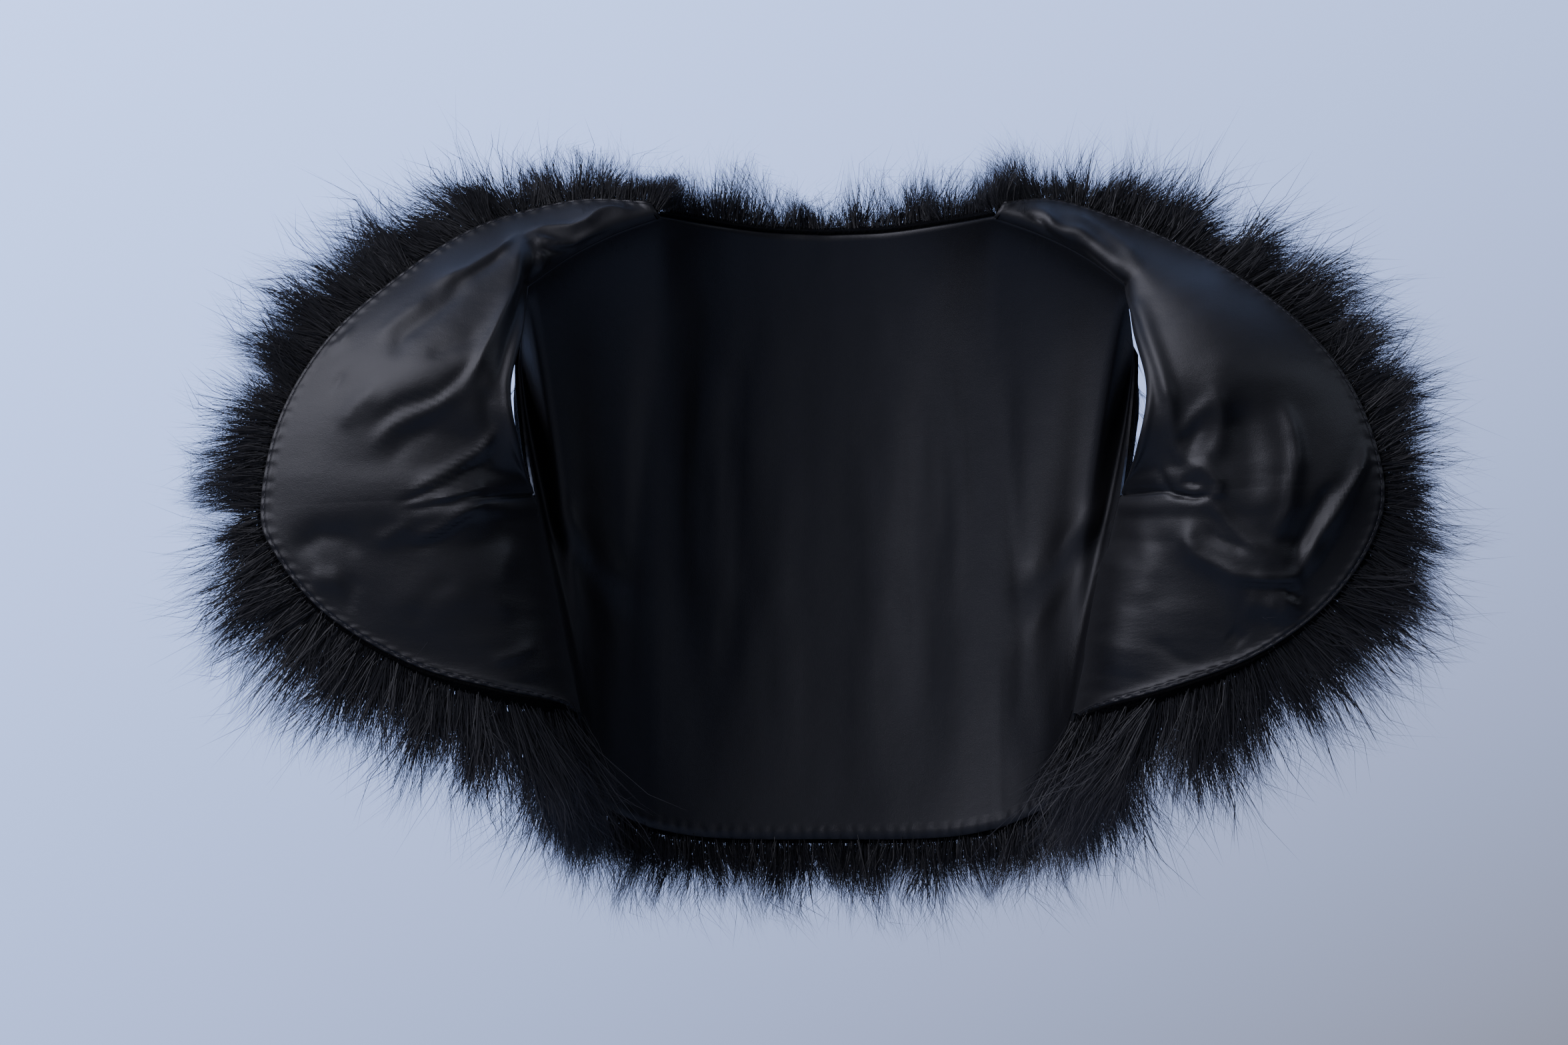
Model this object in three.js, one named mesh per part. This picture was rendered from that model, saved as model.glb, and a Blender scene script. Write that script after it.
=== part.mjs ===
// A bolero of marabou feathers with a satin lining, worn open with both fronts turned back over the arms.
// Millimetres, +Z up, the wearer faces -Y. Right and left are the wearer's, so the right front is at -X.
// The origin lies midway between the neck ends of the two shoulder seams, where the shoulders carry it.
import * as THREE from "three";

// Cloth, in mm.
const SATIN_WALL = 1.2; // satin with the cotton ground that the feathers are sewn to
const PIECE_GAP = 0.3; // between two layers
const SEAM_HALF_GAP = 0.15; // each piece stops this far short of a seam

// Depth of the feather pile over the ground, in mm.
const PILE_FULL = 27; // on the open back
const PILE_ON_FRONT = 20; // behind a turned-back front
const PILE_AT_SEAM = 3; // flattened where it is sewn down
const PILE_AT_RIM = 8; // along the front edge, hem and neck
const TIER_ROOT = 0.58; // a tier's depth at its root, as a share of its depth at the tips
const TIER_OVERHANG = 8; // tips lie this far over the next tier
const TUFT_SPREAD = 0.17; // neighbouring tufts differ by this share

// The marabou edging: a narrow sewn tape with one row of plumes.
const TAPE_GAP = 1;
const TAPE_WIDE = 4;
const TAPE_THICK = 7;
const PLUME_LONG = 50;
const PLUME_LONGEST = 1.55; // towards the sides of the hem, as a share of PLUME_LONG
const PLUME_SAG = 9; // tips of level plumes drop this far
const PLUMES = { front: 66, hem: 46, neck: 24 };

// The inner boundary of a front, from the neck down: shoulder seam, front of the armhole, side seam.
const SHOULDER_TIP = 3;
const UNDERARM = 7;
const SEAM = [
  { at: "neck", x: 88, y: 14, z: 0 },
  { at: "shoulder", x: 112, y: 10, z: -9 },
  { at: "shoulder", x: 135, y: 6, z: -21 },
  { at: "shoulder tip", x: 157, y: 0, z: -37, corner: true },
  { at: "armhole", x: 157, y: -30, z: -62 },
  { at: "armhole", x: 162, y: -50, z: -92 },
  { at: "armhole", x: 158, y: -48, z: -122 },
  { at: "underarm", x: 153, y: -8, z: -147, corner: true },
  { at: "side", x: 148, y: 0, z: -172 },
  { at: "side", x: 143, y: 5, z: -196 },
  { at: "side", x: 139, y: 8, z: -218 },
  { at: "side", x: 135, y: 10, z: -238 },
  { at: "side", x: 132, y: 11, z: -252 },
  { at: "hem", x: 130, y: 12, z: -262 },
];
const LAST_ROW = SEAM.length - 1;
const CORNERS_REACH = 0.45; // the seam's corners die out over this share of a front's width

// The dart of each front lining, from the underarm out along its row: a groove between two lips.
const DART = { across: 0.42, lip: 3.5, lipRow: 0.25 };

// The free edge of each turned-back front, row for row with SEAM. forward and belly say how far the cloth
// bows towards the viewer near its seam and near its edge, and turn how far out from the seam it bows.
const FRONT_EDGES = {
  right: [
    { x: 94, y: 14, z: 9, forward: 5, belly: 3, turn: 0.3 },
    { x: 128, y: 22, z: 11, forward: 14, belly: 8, turn: 0.3 },
    { x: 159, y: 19, z: 5, forward: 17, belly: 9, turn: 0.3 },
    { x: 190, y: 8, z: -7, forward: 22, belly: 12, turn: 0.3 },
    { x: 226, y: -10, z: -33, forward: 22, belly: 16, turn: 0.3 },
    { x: 261, y: -26, z: -67, forward: 20, belly: 20, turn: 0.3 },
    { x: 284, y: -36, z: -108, forward: 26, belly: 22, turn: 0.26 },
    { x: 292, y: -44, z: -153, forward: 60, belly: 26, turn: 0.13 },
    { x: 284, y: -50, z: -177, forward: 70, belly: 26, turn: 0.05 },
    { x: 257, y: -56, z: -208, forward: 72, belly: 22, turn: 0.03 },
    { x: 213, y: -60, z: -233, forward: 66, belly: 16, turn: 0.01 },
    { x: 170, y: -58, z: -245, forward: 50, belly: 10, turn: 0.0 },
    { x: 140, y: -40, z: -252, forward: 26, belly: 4, turn: 0.0 },
    { x: 131, y: -12, z: -259, forward: 6, belly: 0, turn: 0.0 },
  ],
  left: [
    { x: 94, y: 14, z: 9, forward: 5, belly: 3, turn: 0.3 },
    { x: 120, y: 22, z: 11, forward: 14, belly: 8, turn: 0.3 },
    { x: 151, y: 19, z: 2, forward: 18, belly: 9, turn: 0.3 },
    { x: 184, y: 8, z: -13, forward: 23, belly: 13, turn: 0.3 },
    { x: 218, y: -10, z: -34, forward: 24, belly: 18, turn: 0.3 },
    { x: 250, y: -26, z: -62, forward: 22, belly: 22, turn: 0.3 },
    { x: 274, y: -36, z: -97, forward: 28, belly: 24, turn: 0.26 },
    { x: 286, y: -44, z: -140, forward: 62, belly: 27, turn: 0.13 },
    { x: 279, y: -50, z: -171, forward: 72, belly: 26, turn: 0.05 },
    { x: 255, y: -56, z: -203, forward: 72, belly: 22, turn: 0.03 },
    { x: 219, y: -60, z: -228, forward: 66, belly: 16, turn: 0.01 },
    { x: 176, y: -58, z: -244, forward: 50, belly: 10, turn: 0.0 },
    { x: 143, y: -40, z: -254, forward: 26, belly: 4, turn: 0.0 },
    { x: 131, y: -12, z: -261, forward: 6, belly: 0, turn: 0.0 },
  ],
};

// Half of the back, column by column from the centre to the side seam. Each column is a thread of the cloth
// that runs up from the hem, leans out over the shoulder blade and comes in over the top: back and drop lead
// it away from its top end, lean and rise away from the hem.
const NECK_POINT = 3;
const BACK = [
  { x: 0, y: 84, z: -335, topX: 0, topY: 62, topZ: -6, back: 34, drop: 72, lean: 14, rise: 105 },
  { x: 38, y: 83, z: -335, topX: 32, topY: 57, topZ: -5, back: 36, drop: 66, lean: 14, rise: 105 },
  { x: 70, y: 78, z: -333, topX: 63, topY: 41, topZ: -2, back: 44, drop: 50, lean: 13, rise: 102 },
  { x: 94, y: 71, z: -328, topX: 88, topY: 14, topZ: 0, back: 56, drop: 26, lean: 12, rise: 98, corner: true },
  { x: 107, y: 63, z: -322, topX: 112, topY: 10, topZ: -9, back: 56, drop: 20, lean: 10, rise: 92 },
  { x: 118, y: 54, z: -315, topX: 135, topY: 6, topZ: -21, back: 52, drop: 18, lean: 9, rise: 86 },
  { x: 126, y: 43, z: -305, topX: 157, topY: 0, topZ: -37, back: 46, drop: 18, lean: 8, rise: 78, corner: true },
  { x: 130, y: 33, z: -292, topX: 164, topY: 36, topZ: -72, back: 20, drop: 34, lean: 6, rise: 62 },
  { x: 131, y: 23, z: -278, topX: 160, topY: 30, topZ: -118, back: 10, drop: 30, lean: 4, rise: 46 },
  { x: 130, y: 12, z: -262, topX: 153, topY: -8, topZ: -147, back: 8, drop: 30, lean: 2, rise: 34 },
];
const SIDE_COLUMN = BACK.length - 1;
const SIDE_EASE_FROM = 7; // from this column out, the threads are drawn onto the side seam

// The largest folds of each lining: soft ridges between two places, as row and share of the way to the edge.
const FRONT_FOLDS = {
  right: [
    { fromRow: 2.7, fromAcross: 0.5, toRow: 4.7, toAcross: 0.1, wide: 20, high: 6 },
    { fromRow: 4.9, fromAcross: 0.35, toRow: 6.0, toAcross: 0.72, wide: 26, high: 6 },
    { fromRow: 3.4, fromAcross: 0.7, toRow: 4.6, toAcross: 0.86, wide: 22, high: 5 },
    { fromRow: 7.45, fromAcross: 0.52, toRow: 7.1, toAcross: 0.24, wide: 18, high: 5 },
    { fromRow: 8.4, fromAcross: 0.3, toRow: 9.2, toAcross: 0.8, wide: 26, high: 5 },
  ],
  left: [
    { fromRow: 1.6, fromAcross: 0.4, toRow: 3.4, toAcross: 0.12, wide: 18, high: 6 },
    { fromRow: 3.4, fromAcross: 0.12, toRow: 6.8, toAcross: 0.24, wide: 22, high: 7 },
    { fromRow: 5.2, fromAcross: 0.45, toRow: 6.7, toAcross: 0.34, wide: 18, high: 5 },
    { fromRow: 6.8, fromAcross: 0.6, toRow: 7.9, toAcross: 0.64, wide: 22, high: 6 },
    { fromRow: 6.3, fromAcross: 0.92, toRow: 8.1, toAcross: 0.8, wide: 22, high: 6 },
    { fromRow: 7.9, fromAcross: 0.34, toRow: 8.5, toAcross: 0.78, wide: 20, high: 6 },
  ],
};
const BACK_FOLDS = [
  { fromRow: 1.4, fromAcross: 0.1, toRow: 2.2, toAcross: 0.8, wide: 30, high: 5 },
  { fromRow: -2.0, fromAcross: 0.12, toRow: -2.6, toAcross: 0.75, wide: 30, high: 5 },
  { fromRow: 4.6, fromAcross: 0.15, toRow: 5.4, toAcross: 0.85, wide: 26, high: 5 },
  { fromRow: -5.0, fromAcross: 0.1, toRow: -5.2, toAcross: 0.8, wide: 26, high: 5 },
];

// A smooth value of one column of a table, at a place between its rows. A corner row breaks the curve.
function between(rows, column, at) {
  const i = THREE.MathUtils.clamp(Math.floor(at), 0, rows.length - 2);
  const [a, b] = [rows[i][column], rows[i + 1][column]];
  const before = i > 0 && !rows[i].corner ? rows[i - 1][column] : 2 * a - b;
  const after = i + 2 < rows.length && !rows[i + 1].corner ? rows[i + 2][column] : 2 * b - a;
  const t = at - i;
  const bend = t * (2 * before - 5 * a + 4 * b - after + t * (3 * (a - b) + after - before));
  return a + 0.5 * t * (b - before + bend);
}

function placeBetween(rows, at, columns = ["x", "y", "z"]) {
  return new THREE.Vector3(...columns.map((column) => between(rows, column, at)));
}

// The seam line averaged over a row to each side, as the cloth beyond the seam follows it.
function seamWithoutCorners(row) {
  const reach = Math.min(1, row / 2, (LAST_ROW - row) / 2);
  const around = [-1, -0.5, 0, 0.5, 1].map((step) => placeBetween(SEAM, row + step * reach));
  return around.reduce((sum, place) => sum.add(place)).divideScalar(around.length);
}

// A turned-back front: row runs from the neck down to the hem, across from the seam out to the free edge.
function frontSurface(name, side) {
  const edges = FRONT_EDGES[name];
  return (row, across) => {
    const seam = placeBetween(SEAM, row);
    const edge = placeBetween(edges, row);
    const easedSeam = seamWithoutCorners(row);
    const near = easedSeam.clone().lerp(edge, between(edges, "turn", row));
    const far = easedSeam.clone().lerp(edge, 0.66);
    near.y = THREE.MathUtils.lerp(easedSeam.y, edge.y, 0.15) - between(edges, "forward", row);
    far.y -= between(edges, "belly", row);
    const place = new THREE.CubicBezierCurve3(easedSeam, near, far, edge).getPoint(across);
    const cornerShare = Math.max(0, 1 - across / CORNERS_REACH) ** 2;
    place.addScaledVector(seam.sub(easedSeam), cornerShare);
    place.x *= side;
    return place;
  };
}

// The back: column runs from the right side seam at -SIDE_COLUMN to the left one, up from hem to top.
function backSurface(column, up) {
  const c = Math.abs(column);
  const thread = (at) => {
    const hem = placeBetween(BACK, at);
    const top = placeBetween(BACK, at, ["topX", "topY", "topZ"]);
    const [lean, rise, back, drop] = ["lean", "rise", "back", "drop"].map((name) => between(BACK, name, at));
    const low = hem.clone().add(new THREE.Vector3(0, lean, rise));
    const high = top.clone().add(new THREE.Vector3(0, back, -drop));
    return new THREE.CubicBezierCurve3(hem, low, high, top).getPoint(up);
  };
  const place = thread(c);
  const ease = THREE.MathUtils.smoothstep(c, SIDE_EASE_FROM, SIDE_COLUMN);
  const sideSeam = placeBetween(SEAM, THREE.MathUtils.lerp(LAST_ROW, UNDERARM, up));
  place.add(sideSeam.sub(thread(SIDE_COLUMN)).multiplyScalar(ease));
  place.x *= column < 0 ? -1 : 1;
  return place;
}

// The unit direction out of the feathered side, from small steps on the surface.
function outOf(surface, a, b, turn, aRange, bRange) {
  const step = 0.02;
  const moved = (value, by, range) => THREE.MathUtils.clamp(value + by, ...range);
  const alongA = surface(moved(a, step, aRange), b).sub(surface(moved(a, -step, aRange), b));
  const alongB = surface(a, moved(b, step, bRange)).sub(surface(a, moved(b, -step, bRange)));
  return alongA.cross(alongB).normalize().multiplyScalar(turn);
}

const UNIT = [0, 1];
const fronts = Object.fromEntries(
  [["right", -1], ["left", 1]].map(([name, side]) => [name, { side, surface: frontSurface(name, side) }]),
);
const outOfFront = ({ surface, side }, row, across) =>
  outOf(surface, row, across, -side, [0, LAST_ROW], UNIT);
const outOfBack = (column, up) =>
  outOf(backSurface, column, up, -1, [-SIDE_COLUMN, SIDE_COLUMN], UNIT);

// Where a front meets the back, both walls are built out along one shared direction, so their cut ends lie
// parallel.
function sharedOut(front, row) {
  const column = row <= SHOULDER_TIP ? NECK_POINT + row : SIDE_COLUMN;
  const up = row <= SHOULDER_TIP ? 1 : (LAST_ROW - row) / (LAST_ROW - UNDERARM);
  const a = outOfFront(front, row, 0);
  const b = outOfBack(front.side * column, up);
  return a.clone().add(b).divideScalar(1 + a.dot(b));
}

// A soft ridge between two places of a surface, raised on its lining side.
function ridge(place, surface, fold) {
  const a = surface(fold.fromRow, fold.fromAcross);
  const b = surface(fold.toRow, fold.toAcross);
  const line = new THREE.Line3(a, b);
  const share = line.closestPointToPointParameter(place, true);
  const off = place.distanceTo(line.at(share, new THREE.Vector3())) / fold.wide;
  return fold.high * Math.sin(Math.PI * THREE.MathUtils.lerp(0.15, 0.85, share)) * Math.exp(-off * off * 3);
}

// The lips of the dart, raised on the lining side and dying out towards its tip.
function dart(row, across) {
  const fromLine = Math.min(2, Math.abs(row - UNDERARM) / DART.lipRow);
  return DART.lip * Math.max(0, 1 - across / DART.across) * 0.5 * (1 - Math.cos(Math.PI * fromLine));
}

// A grid of cloth points: each has its place, its direction out, its lining folds and its pile.
function clothGrid(rows, columns, makePoint) {
  const grid = rows.map((a, i) => columns.map((b, j) => makePoint(a, b, i, j)));
  const places = grid.map((line) => line.map((point) => point.place.clone()));
  const [lastRow, lastColumn] = [rows.length - 1, columns.length - 1];
  const towards = (i, j, k, l) => places[k][l].clone().sub(places[i][j]).normalize();
  grid.forEach((line, i) =>
    line.forEach((point, j) => {
      const inwards = new THREE.Vector3();
      if (i === 0 || i === lastRow) inwards.add(towards(i, j, i ? i - 1 : 1, j));
      if (j === 0 || j === lastColumn) inwards.add(towards(i, j, i, j ? j - 1 : 1));
      point.place.addScaledVector(inwards, SEAM_HALF_GAP);
    }),
  );
  return grid;
}

// Splits each whole step of a table into the given number of cells.
const steps = (cells, first = 0) => {
  const cellsOf = (count, i) => Array.from({ length: count }, (_, k) => first + i + k / count);
  return cells.flatMap(cellsOf).concat(first + cells.length);
};

// One closed wall between two faces of a grid, each given as a function of a grid point.
function wall(grid, inner, outer) {
  const [rows, columns] = [grid.length, grid[0].length];
  const points = [inner, outer].flatMap((face) => grid.flatMap((line) => line.map(face)));
  const id = (face, i, j) => face * rows * columns + i * columns + j;
  const faces = [];
  const quad = (a, b, c, d) => faces.push(a, b, c, a, c, d);
  for (let i = 0; i < rows - 1; i++)
    for (let j = 0; j < columns - 1; j++) {
      quad(id(1, i, j), id(1, i + 1, j), id(1, i + 1, j + 1), id(1, i, j + 1));
      quad(id(0, i, j), id(0, i, j + 1), id(0, i + 1, j + 1), id(0, i + 1, j));
    }
  for (let i = 0; i < rows - 1; i++) {
    quad(id(0, i, 0), id(0, i + 1, 0), id(1, i + 1, 0), id(1, i, 0));
    quad(id(1, i, columns - 1), id(1, i + 1, columns - 1), id(0, i + 1, columns - 1), id(0, i, columns - 1));
  }
  for (let j = 0; j < columns - 1; j++) {
    quad(id(1, 0, j), id(1, 0, j + 1), id(0, 0, j + 1), id(0, 0, j));
    quad(id(0, rows - 1, j), id(0, rows - 1, j + 1), id(1, rows - 1, j + 1), id(1, rows - 1, j));
  }
  return closedGeometry(points, faces);
}

// A geometry whose faces point out, whichever way round its grid ran.
function closedGeometry(points, faces) {
  const volume = faces.reduce((sum, _, k) => {
    if (k % 3) return sum;
    const [a, b, c] = [points[faces[k]], points[faces[k + 1]], points[faces[k + 2]]];
    return sum + a.dot(b.clone().cross(c));
  }, 0);
  const geometry = new THREE.BufferGeometry().setFromPoints(points);
  geometry.setIndex(volume < 0 ? faces.toReversed() : faces);
  geometry.computeVertexNormals();
  return geometry;
}

// Pile depth at a point: thick in the middle of the piece, in tiers whose tufts alternate along the tier.
function pileDepth({ full, rim, seam, open, swell }, tierPlace, tuftPlace) {
  const base = THREE.MathUtils.lerp(rim, seam, open);
  const tips = tierPlace % 2 === 1;
  const tuft = 1 + (tuftPlace % 2 ? TUFT_SPREAD : -TUFT_SPREAD) * (tips ? 1 : 0.4);
  return base + (full - base) * swell * (tips ? 1 : TIER_ROOT) * tuft;
}

// The three layers' faces over one grid point.
const satinFace = (layer) => (point) =>
  point.place.clone().addScaledVector(point.out, layer * SATIN_WALL - point.fold);
const pileInner = (point) => point.place.clone().addScaledVector(point.out, SATIN_WALL + PIECE_GAP);
const pileOuter = (point) => pileInner(point).addScaledVector(point.out, point.pile).add(point.overhang);

// A front's grid. Rows are closer where the free edge is long, and tiers run from the seam out to the edge.
const FRONT_ROWS = steps([2, 2, 2, 3, 3, 3, 4, 4, 3, 3, 2, 2, 2]);
const FRONT_TIER_CELLS = 10;

function frontGrid(name) {
  const front = fronts[name];
  const acrosses = Array.from({ length: FRONT_TIER_CELLS + 1 }, (_, j) => j / FRONT_TIER_CELLS);
  return clothGrid(FRONT_ROWS, acrosses, (row, across, i, j) => {
    const onSeam = j === 0 && (row <= SHOULDER_TIP || row >= UNDERARM);
    const place = front.surface(row, across);
    const out = onSeam ? sharedOut(front, row) : outOfFront(front, row, across);
    const ends = THREE.MathUtils.smoothstep(Math.min(row, LAST_ROW - row), 0, 3.5);
    const swell = Math.pow(Math.sin(Math.PI * across), 0.8) * ends;
    const calm = Math.min(1, 3 * (1 - across), j === 0 ? 0 : 1) * Math.min(1, row, LAST_ROW - row);
    const folds = FRONT_FOLDS[name].reduce((sum, each) => sum + ridge(place, front.surface, each), 0);
    const fold = (folds + dart(row, across)) * calm;
    const rim = PILE_AT_RIM * (0.4 + 0.6 * ends);
    const pileKind = { full: PILE_ON_FRONT, rim, seam: PILE_AT_SEAM, open: 1 - across, swell };
    const further = front.surface(row, Math.min(1, across + 0.05));
    const outwards = further.sub(front.surface(row, across - 0.05)).normalize();
    const overhang = outwards.multiplyScalar(j % 2 && across < 1 ? TIER_OVERHANG * swell : 0);
    return { place, out, fold, overhang, pile: pileDepth(pileKind, j, i) };
  });
}

// The back's grid, side seam to side seam, with tiers that hang down over each other.
const BACK_CELLS = Array(2 * SIDE_COLUMN).fill(2);
const BACK_TIER_CELLS = 14;

function backGrid() {
  const columns = steps(BACK_CELLS, -SIDE_COLUMN);
  const ups = Array.from({ length: BACK_TIER_CELLS + 1 }, (_, j) => j / BACK_TIER_CELLS);
  return clothGrid(columns, ups, (column, up, i, j) => {
    const c = Math.abs(column);
    const front = fronts[column < 0 ? "right" : "left"];
    const onShoulder = j === BACK_TIER_CELLS && c >= NECK_POINT && c <= NECK_POINT + SHOULDER_TIP;
    const onSide = c === SIDE_COLUMN;
    const place = backSurface(column, up);
    let out = outOfBack(column, up);
    if (onShoulder) out = sharedOut(front, c - NECK_POINT);
    if (onSide) out = sharedOut(front, THREE.MathUtils.lerp(LAST_ROW, UNDERARM, up));
    const sideways = THREE.MathUtils.smoothstep(c / SIDE_COLUMN, 0.55, 1);
    const open = Math.max(sideways, c > NECK_POINT - 0.5 ? THREE.MathUtils.smoothstep(up, 0.75, 1) : 0);
    const swell = Math.pow(Math.sin(Math.PI * up), 0.7) * (1 - open);
    const calm = onSide ? 0 : Math.sin(Math.PI * up);
    const fold = BACK_FOLDS.reduce((sum, each) => sum + ridge(place, backSurface, each), 0) * calm;
    const downwards = backSurface(column, Math.max(0, up - 0.04)).sub(backSurface(column, up)).normalize();
    const overhang = downwards.multiplyScalar(j % 2 ? TIER_OVERHANG * swell : 0);
    const pile = pileDepth({ full: PILE_FULL, rim: PILE_AT_RIM, seam: PILE_AT_SEAM, open, swell }, j, i);
    return { place, out, fold, overhang, pile };
  });
}

// Places that split a curve into equal lengths, as parameters of the curve.
function evenly(curve, from, to, count) {
  const fine = Array.from({ length: 401 }, (_, k) => THREE.MathUtils.lerp(from, to, k / 400));
  const lengths = [0];
  fine.slice(1).forEach((at, k) => lengths.push(lengths[k] + curve(at).distanceTo(curve(fine[k]))));
  return Array.from({ length: count + 1 }, (_, n) => {
    const want = (lengths[400] * n) / count;
    const k = Math.max(1, lengths.findIndex((length) => length >= want - 1e-9));
    const share = (want - lengths[k - 1]) / (lengths[k] - lengths[k - 1]);
    return THREE.MathUtils.lerp(fine[k - 1], fine[k], share);
  });
}

// The edging of one free edge: a tape along it, whose outer face is drawn out into one plume for each cell.
// rim(at) gives the edge's place, the direction out of the pile, the direction away from the cloth, the way
// the plumes stand and their length as a share of PLUME_LONG.
function plumeEdging(rim, from, to, count) {
  const near = SATIN_WALL + PIECE_GAP;
  const ends = evenly((at) => rim(at).place, from, to, count);
  const points = [];
  const faces = [];
  const add = (point) => points.push(point) - 1;
  const quad = (a, b, c, d) => faces.push(a, b, c, a, c, d);
  const sections = ends.map((at, n) => {
    const { place, out, away } = rim(at);
    const thick = TAPE_THICK * Math.min(1, 0.3 + 0.12 * Math.min(n, count - n));
    const corner = (across, up) => add(place.clone().addScaledVector(away, across).addScaledVector(out, up));
    const [low, high] = [TAPE_GAP, TAPE_GAP + TAPE_WIDE];
    return [corner(low, near), corner(high, near), corner(high, near + thick), corner(low, near + thick)];
  });
  quad(...sections[0]);
  quad(...sections[count].toReversed());
  for (let k = 0; k < count; k++) {
    const [a, b] = [sections[k], sections[k + 1]];
    quad(a[0], b[0], b[1], a[1]);
    quad(a[2], b[2], b[3], a[3]);
    quad(a[3], b[3], b[0], a[0]);
    plume([a[1], b[1], b[2], a[2]], rim((ends[k] + ends[k + 1]) / 2), k);
  }
  return closedGeometry(points, faces);

  // A plume: a four-sided lock that narrows over two rings to a point, swaying and sagging as it goes.
  function plume(root, { out, stand, share: longer }, k) {
    const centre = root.reduce((sum, id) => sum.add(points[id]), new THREE.Vector3()).divideScalar(4);
    const along = points[root[1]].clone().sub(points[root[0]]).normalize();
    const tilt = k % 2 ? 0.45 : 0.05;
    const sway = 0.2 * Math.sin(k * 0.7);
    const direction = stand.clone().addScaledVector(out, tilt).addScaledVector(along, sway).normalize();
    const long = PLUME_LONG * longer * (0.9 + 0.16 * Math.sin(k * 2.4) + 0.08 * Math.sin(k * 0.9));
    const sag = PLUME_SAG * (1 - Math.abs(direction.z));
    const ring = (share, narrow) => {
      const middle = centre.clone().addScaledVector(direction, long * share);
      middle.z -= sag * share * share;
      return root.map((id) => add(points[id].clone().sub(centre).multiplyScalar(narrow).add(middle)));
    };
    const rings = [root, ring(0.35, 0.74), ring(0.7, 0.42)];
    const tip = ring(1, 0)[0];
    for (let r = 0; r < 2; r++)
      for (let n = 0; n < 4; n++)
        quad(rings[r][n], rings[r][(n + 1) % 4], rings[r + 1][(n + 1) % 4], rings[r + 1][n]);
    for (let n = 0; n < 4; n++) faces.push(rings[2][n], rings[2][(n + 1) % 4], tip);
  }
}

// The in-cloth direction square to an edge, away from a place inside it.
function awayFrom(place, ahead, behind, out, inside) {
  const away = ahead.sub(behind).cross(out).normalize();
  return away.multiplyScalar(Math.sign(away.dot(place.clone().sub(inside))));
}

const frontRim = (front) => (row) => {
  const edge = (at) => front.surface(THREE.MathUtils.clamp(at, 0, LAST_ROW), 1);
  const place = edge(row);
  const out = outOfFront(front, row, 1);
  const away = awayFrom(place, edge(row + 0.05), edge(row - 0.05), out, front.surface(row, 0.97));
  const low = THREE.MathUtils.smoothstep(row, 9, LAST_ROW);
  const level = new THREE.Vector3(away.x, away.y * 0.3, away.z);
  const stand = level.lerp(new THREE.Vector3(0, 0.2, -1.6), low).normalize();
  const share = THREE.MathUtils.lerp(THREE.MathUtils.lerp(0.6, 1, Math.min(1, row)), PLUME_LONGEST, low);
  return { place, out, away, stand, share };
};
const backRim = (up, inside, lean) => (column) => {
  const edge = (at) => backSurface(THREE.MathUtils.clamp(at, -SIDE_COLUMN, SIDE_COLUMN), up);
  const place = edge(column);
  const out = outOfBack(column, up);
  const away = awayFrom(place, edge(column + 0.05), edge(column - 0.05), out, backSurface(column, inside));
  const hang = new THREE.Vector3(0, 0, up ? 0 : -1);
  const stand = away.clone().addScaledVector(out, lean).add(hang).normalize();
  const side = up ? 0 : THREE.MathUtils.smoothstep(Math.abs(column), 4.5, SIDE_COLUMN - 0.5);
  return { place, out, away, stand, share: THREE.MathUtils.lerp(up ? 0.8 : 1, PLUME_LONGEST, side) };
};

// Finishes: black satin, dyed marabou down.
const satin = () => new THREE.MeshStandardMaterial({ color: 0x17171b, roughness: 0.38, metalness: 0 });
const marabou = () => new THREE.MeshStandardMaterial({ color: 0x0d0d10, roughness: 0.9, metalness: 0 });

const bolero = new THREE.Group();
function sew(name, geometry, material) {
  const mesh = new THREE.Mesh(geometry, material);
  mesh.name = name;
  bolero.add(mesh);
}

for (const name of ["right", "left"]) {
  const grid = frontGrid(name);
  sew(`lining_front_${name}`, wall(grid, satinFace(0), satinFace(1)), satin());
  sew(`marabou_front_${name}`, wall(grid, pileInner, pileOuter), marabou());
  const edge = plumeEdging(frontRim(fronts[name]), 0.15, LAST_ROW - 0.6, PLUMES.front);
  sew(`edging_front_${name}`, edge, marabou());
}
const back = backGrid();
sew("lining_back", wall(back, satinFace(0), satinFace(1)), satin());
sew("marabou_back", wall(back, pileInner, pileOuter), marabou());
const hemReach = SIDE_COLUMN - 0.1;
sew("edging_hem", plumeEdging(backRim(0, 0.03, 0), -hemReach, hemReach, PLUMES.hem), marabou());
const neckReach = NECK_POINT - 0.25;
sew("edging_neck", plumeEdging(backRim(1, 0.97, 1.3), -neckReach, neckReach, PLUMES.neck), marabou());

export default bolero;
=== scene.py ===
"""The looks of the marabou bolero: satin linings with their creases and topstitching, and the feather pile.

Surfaces are worked out in millimetres and become metres when a mesh is made. +Z is up and the open front
faces -Y, so the right front, as it is worn, is at -X and on the left of the picture.
"""

import math

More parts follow.
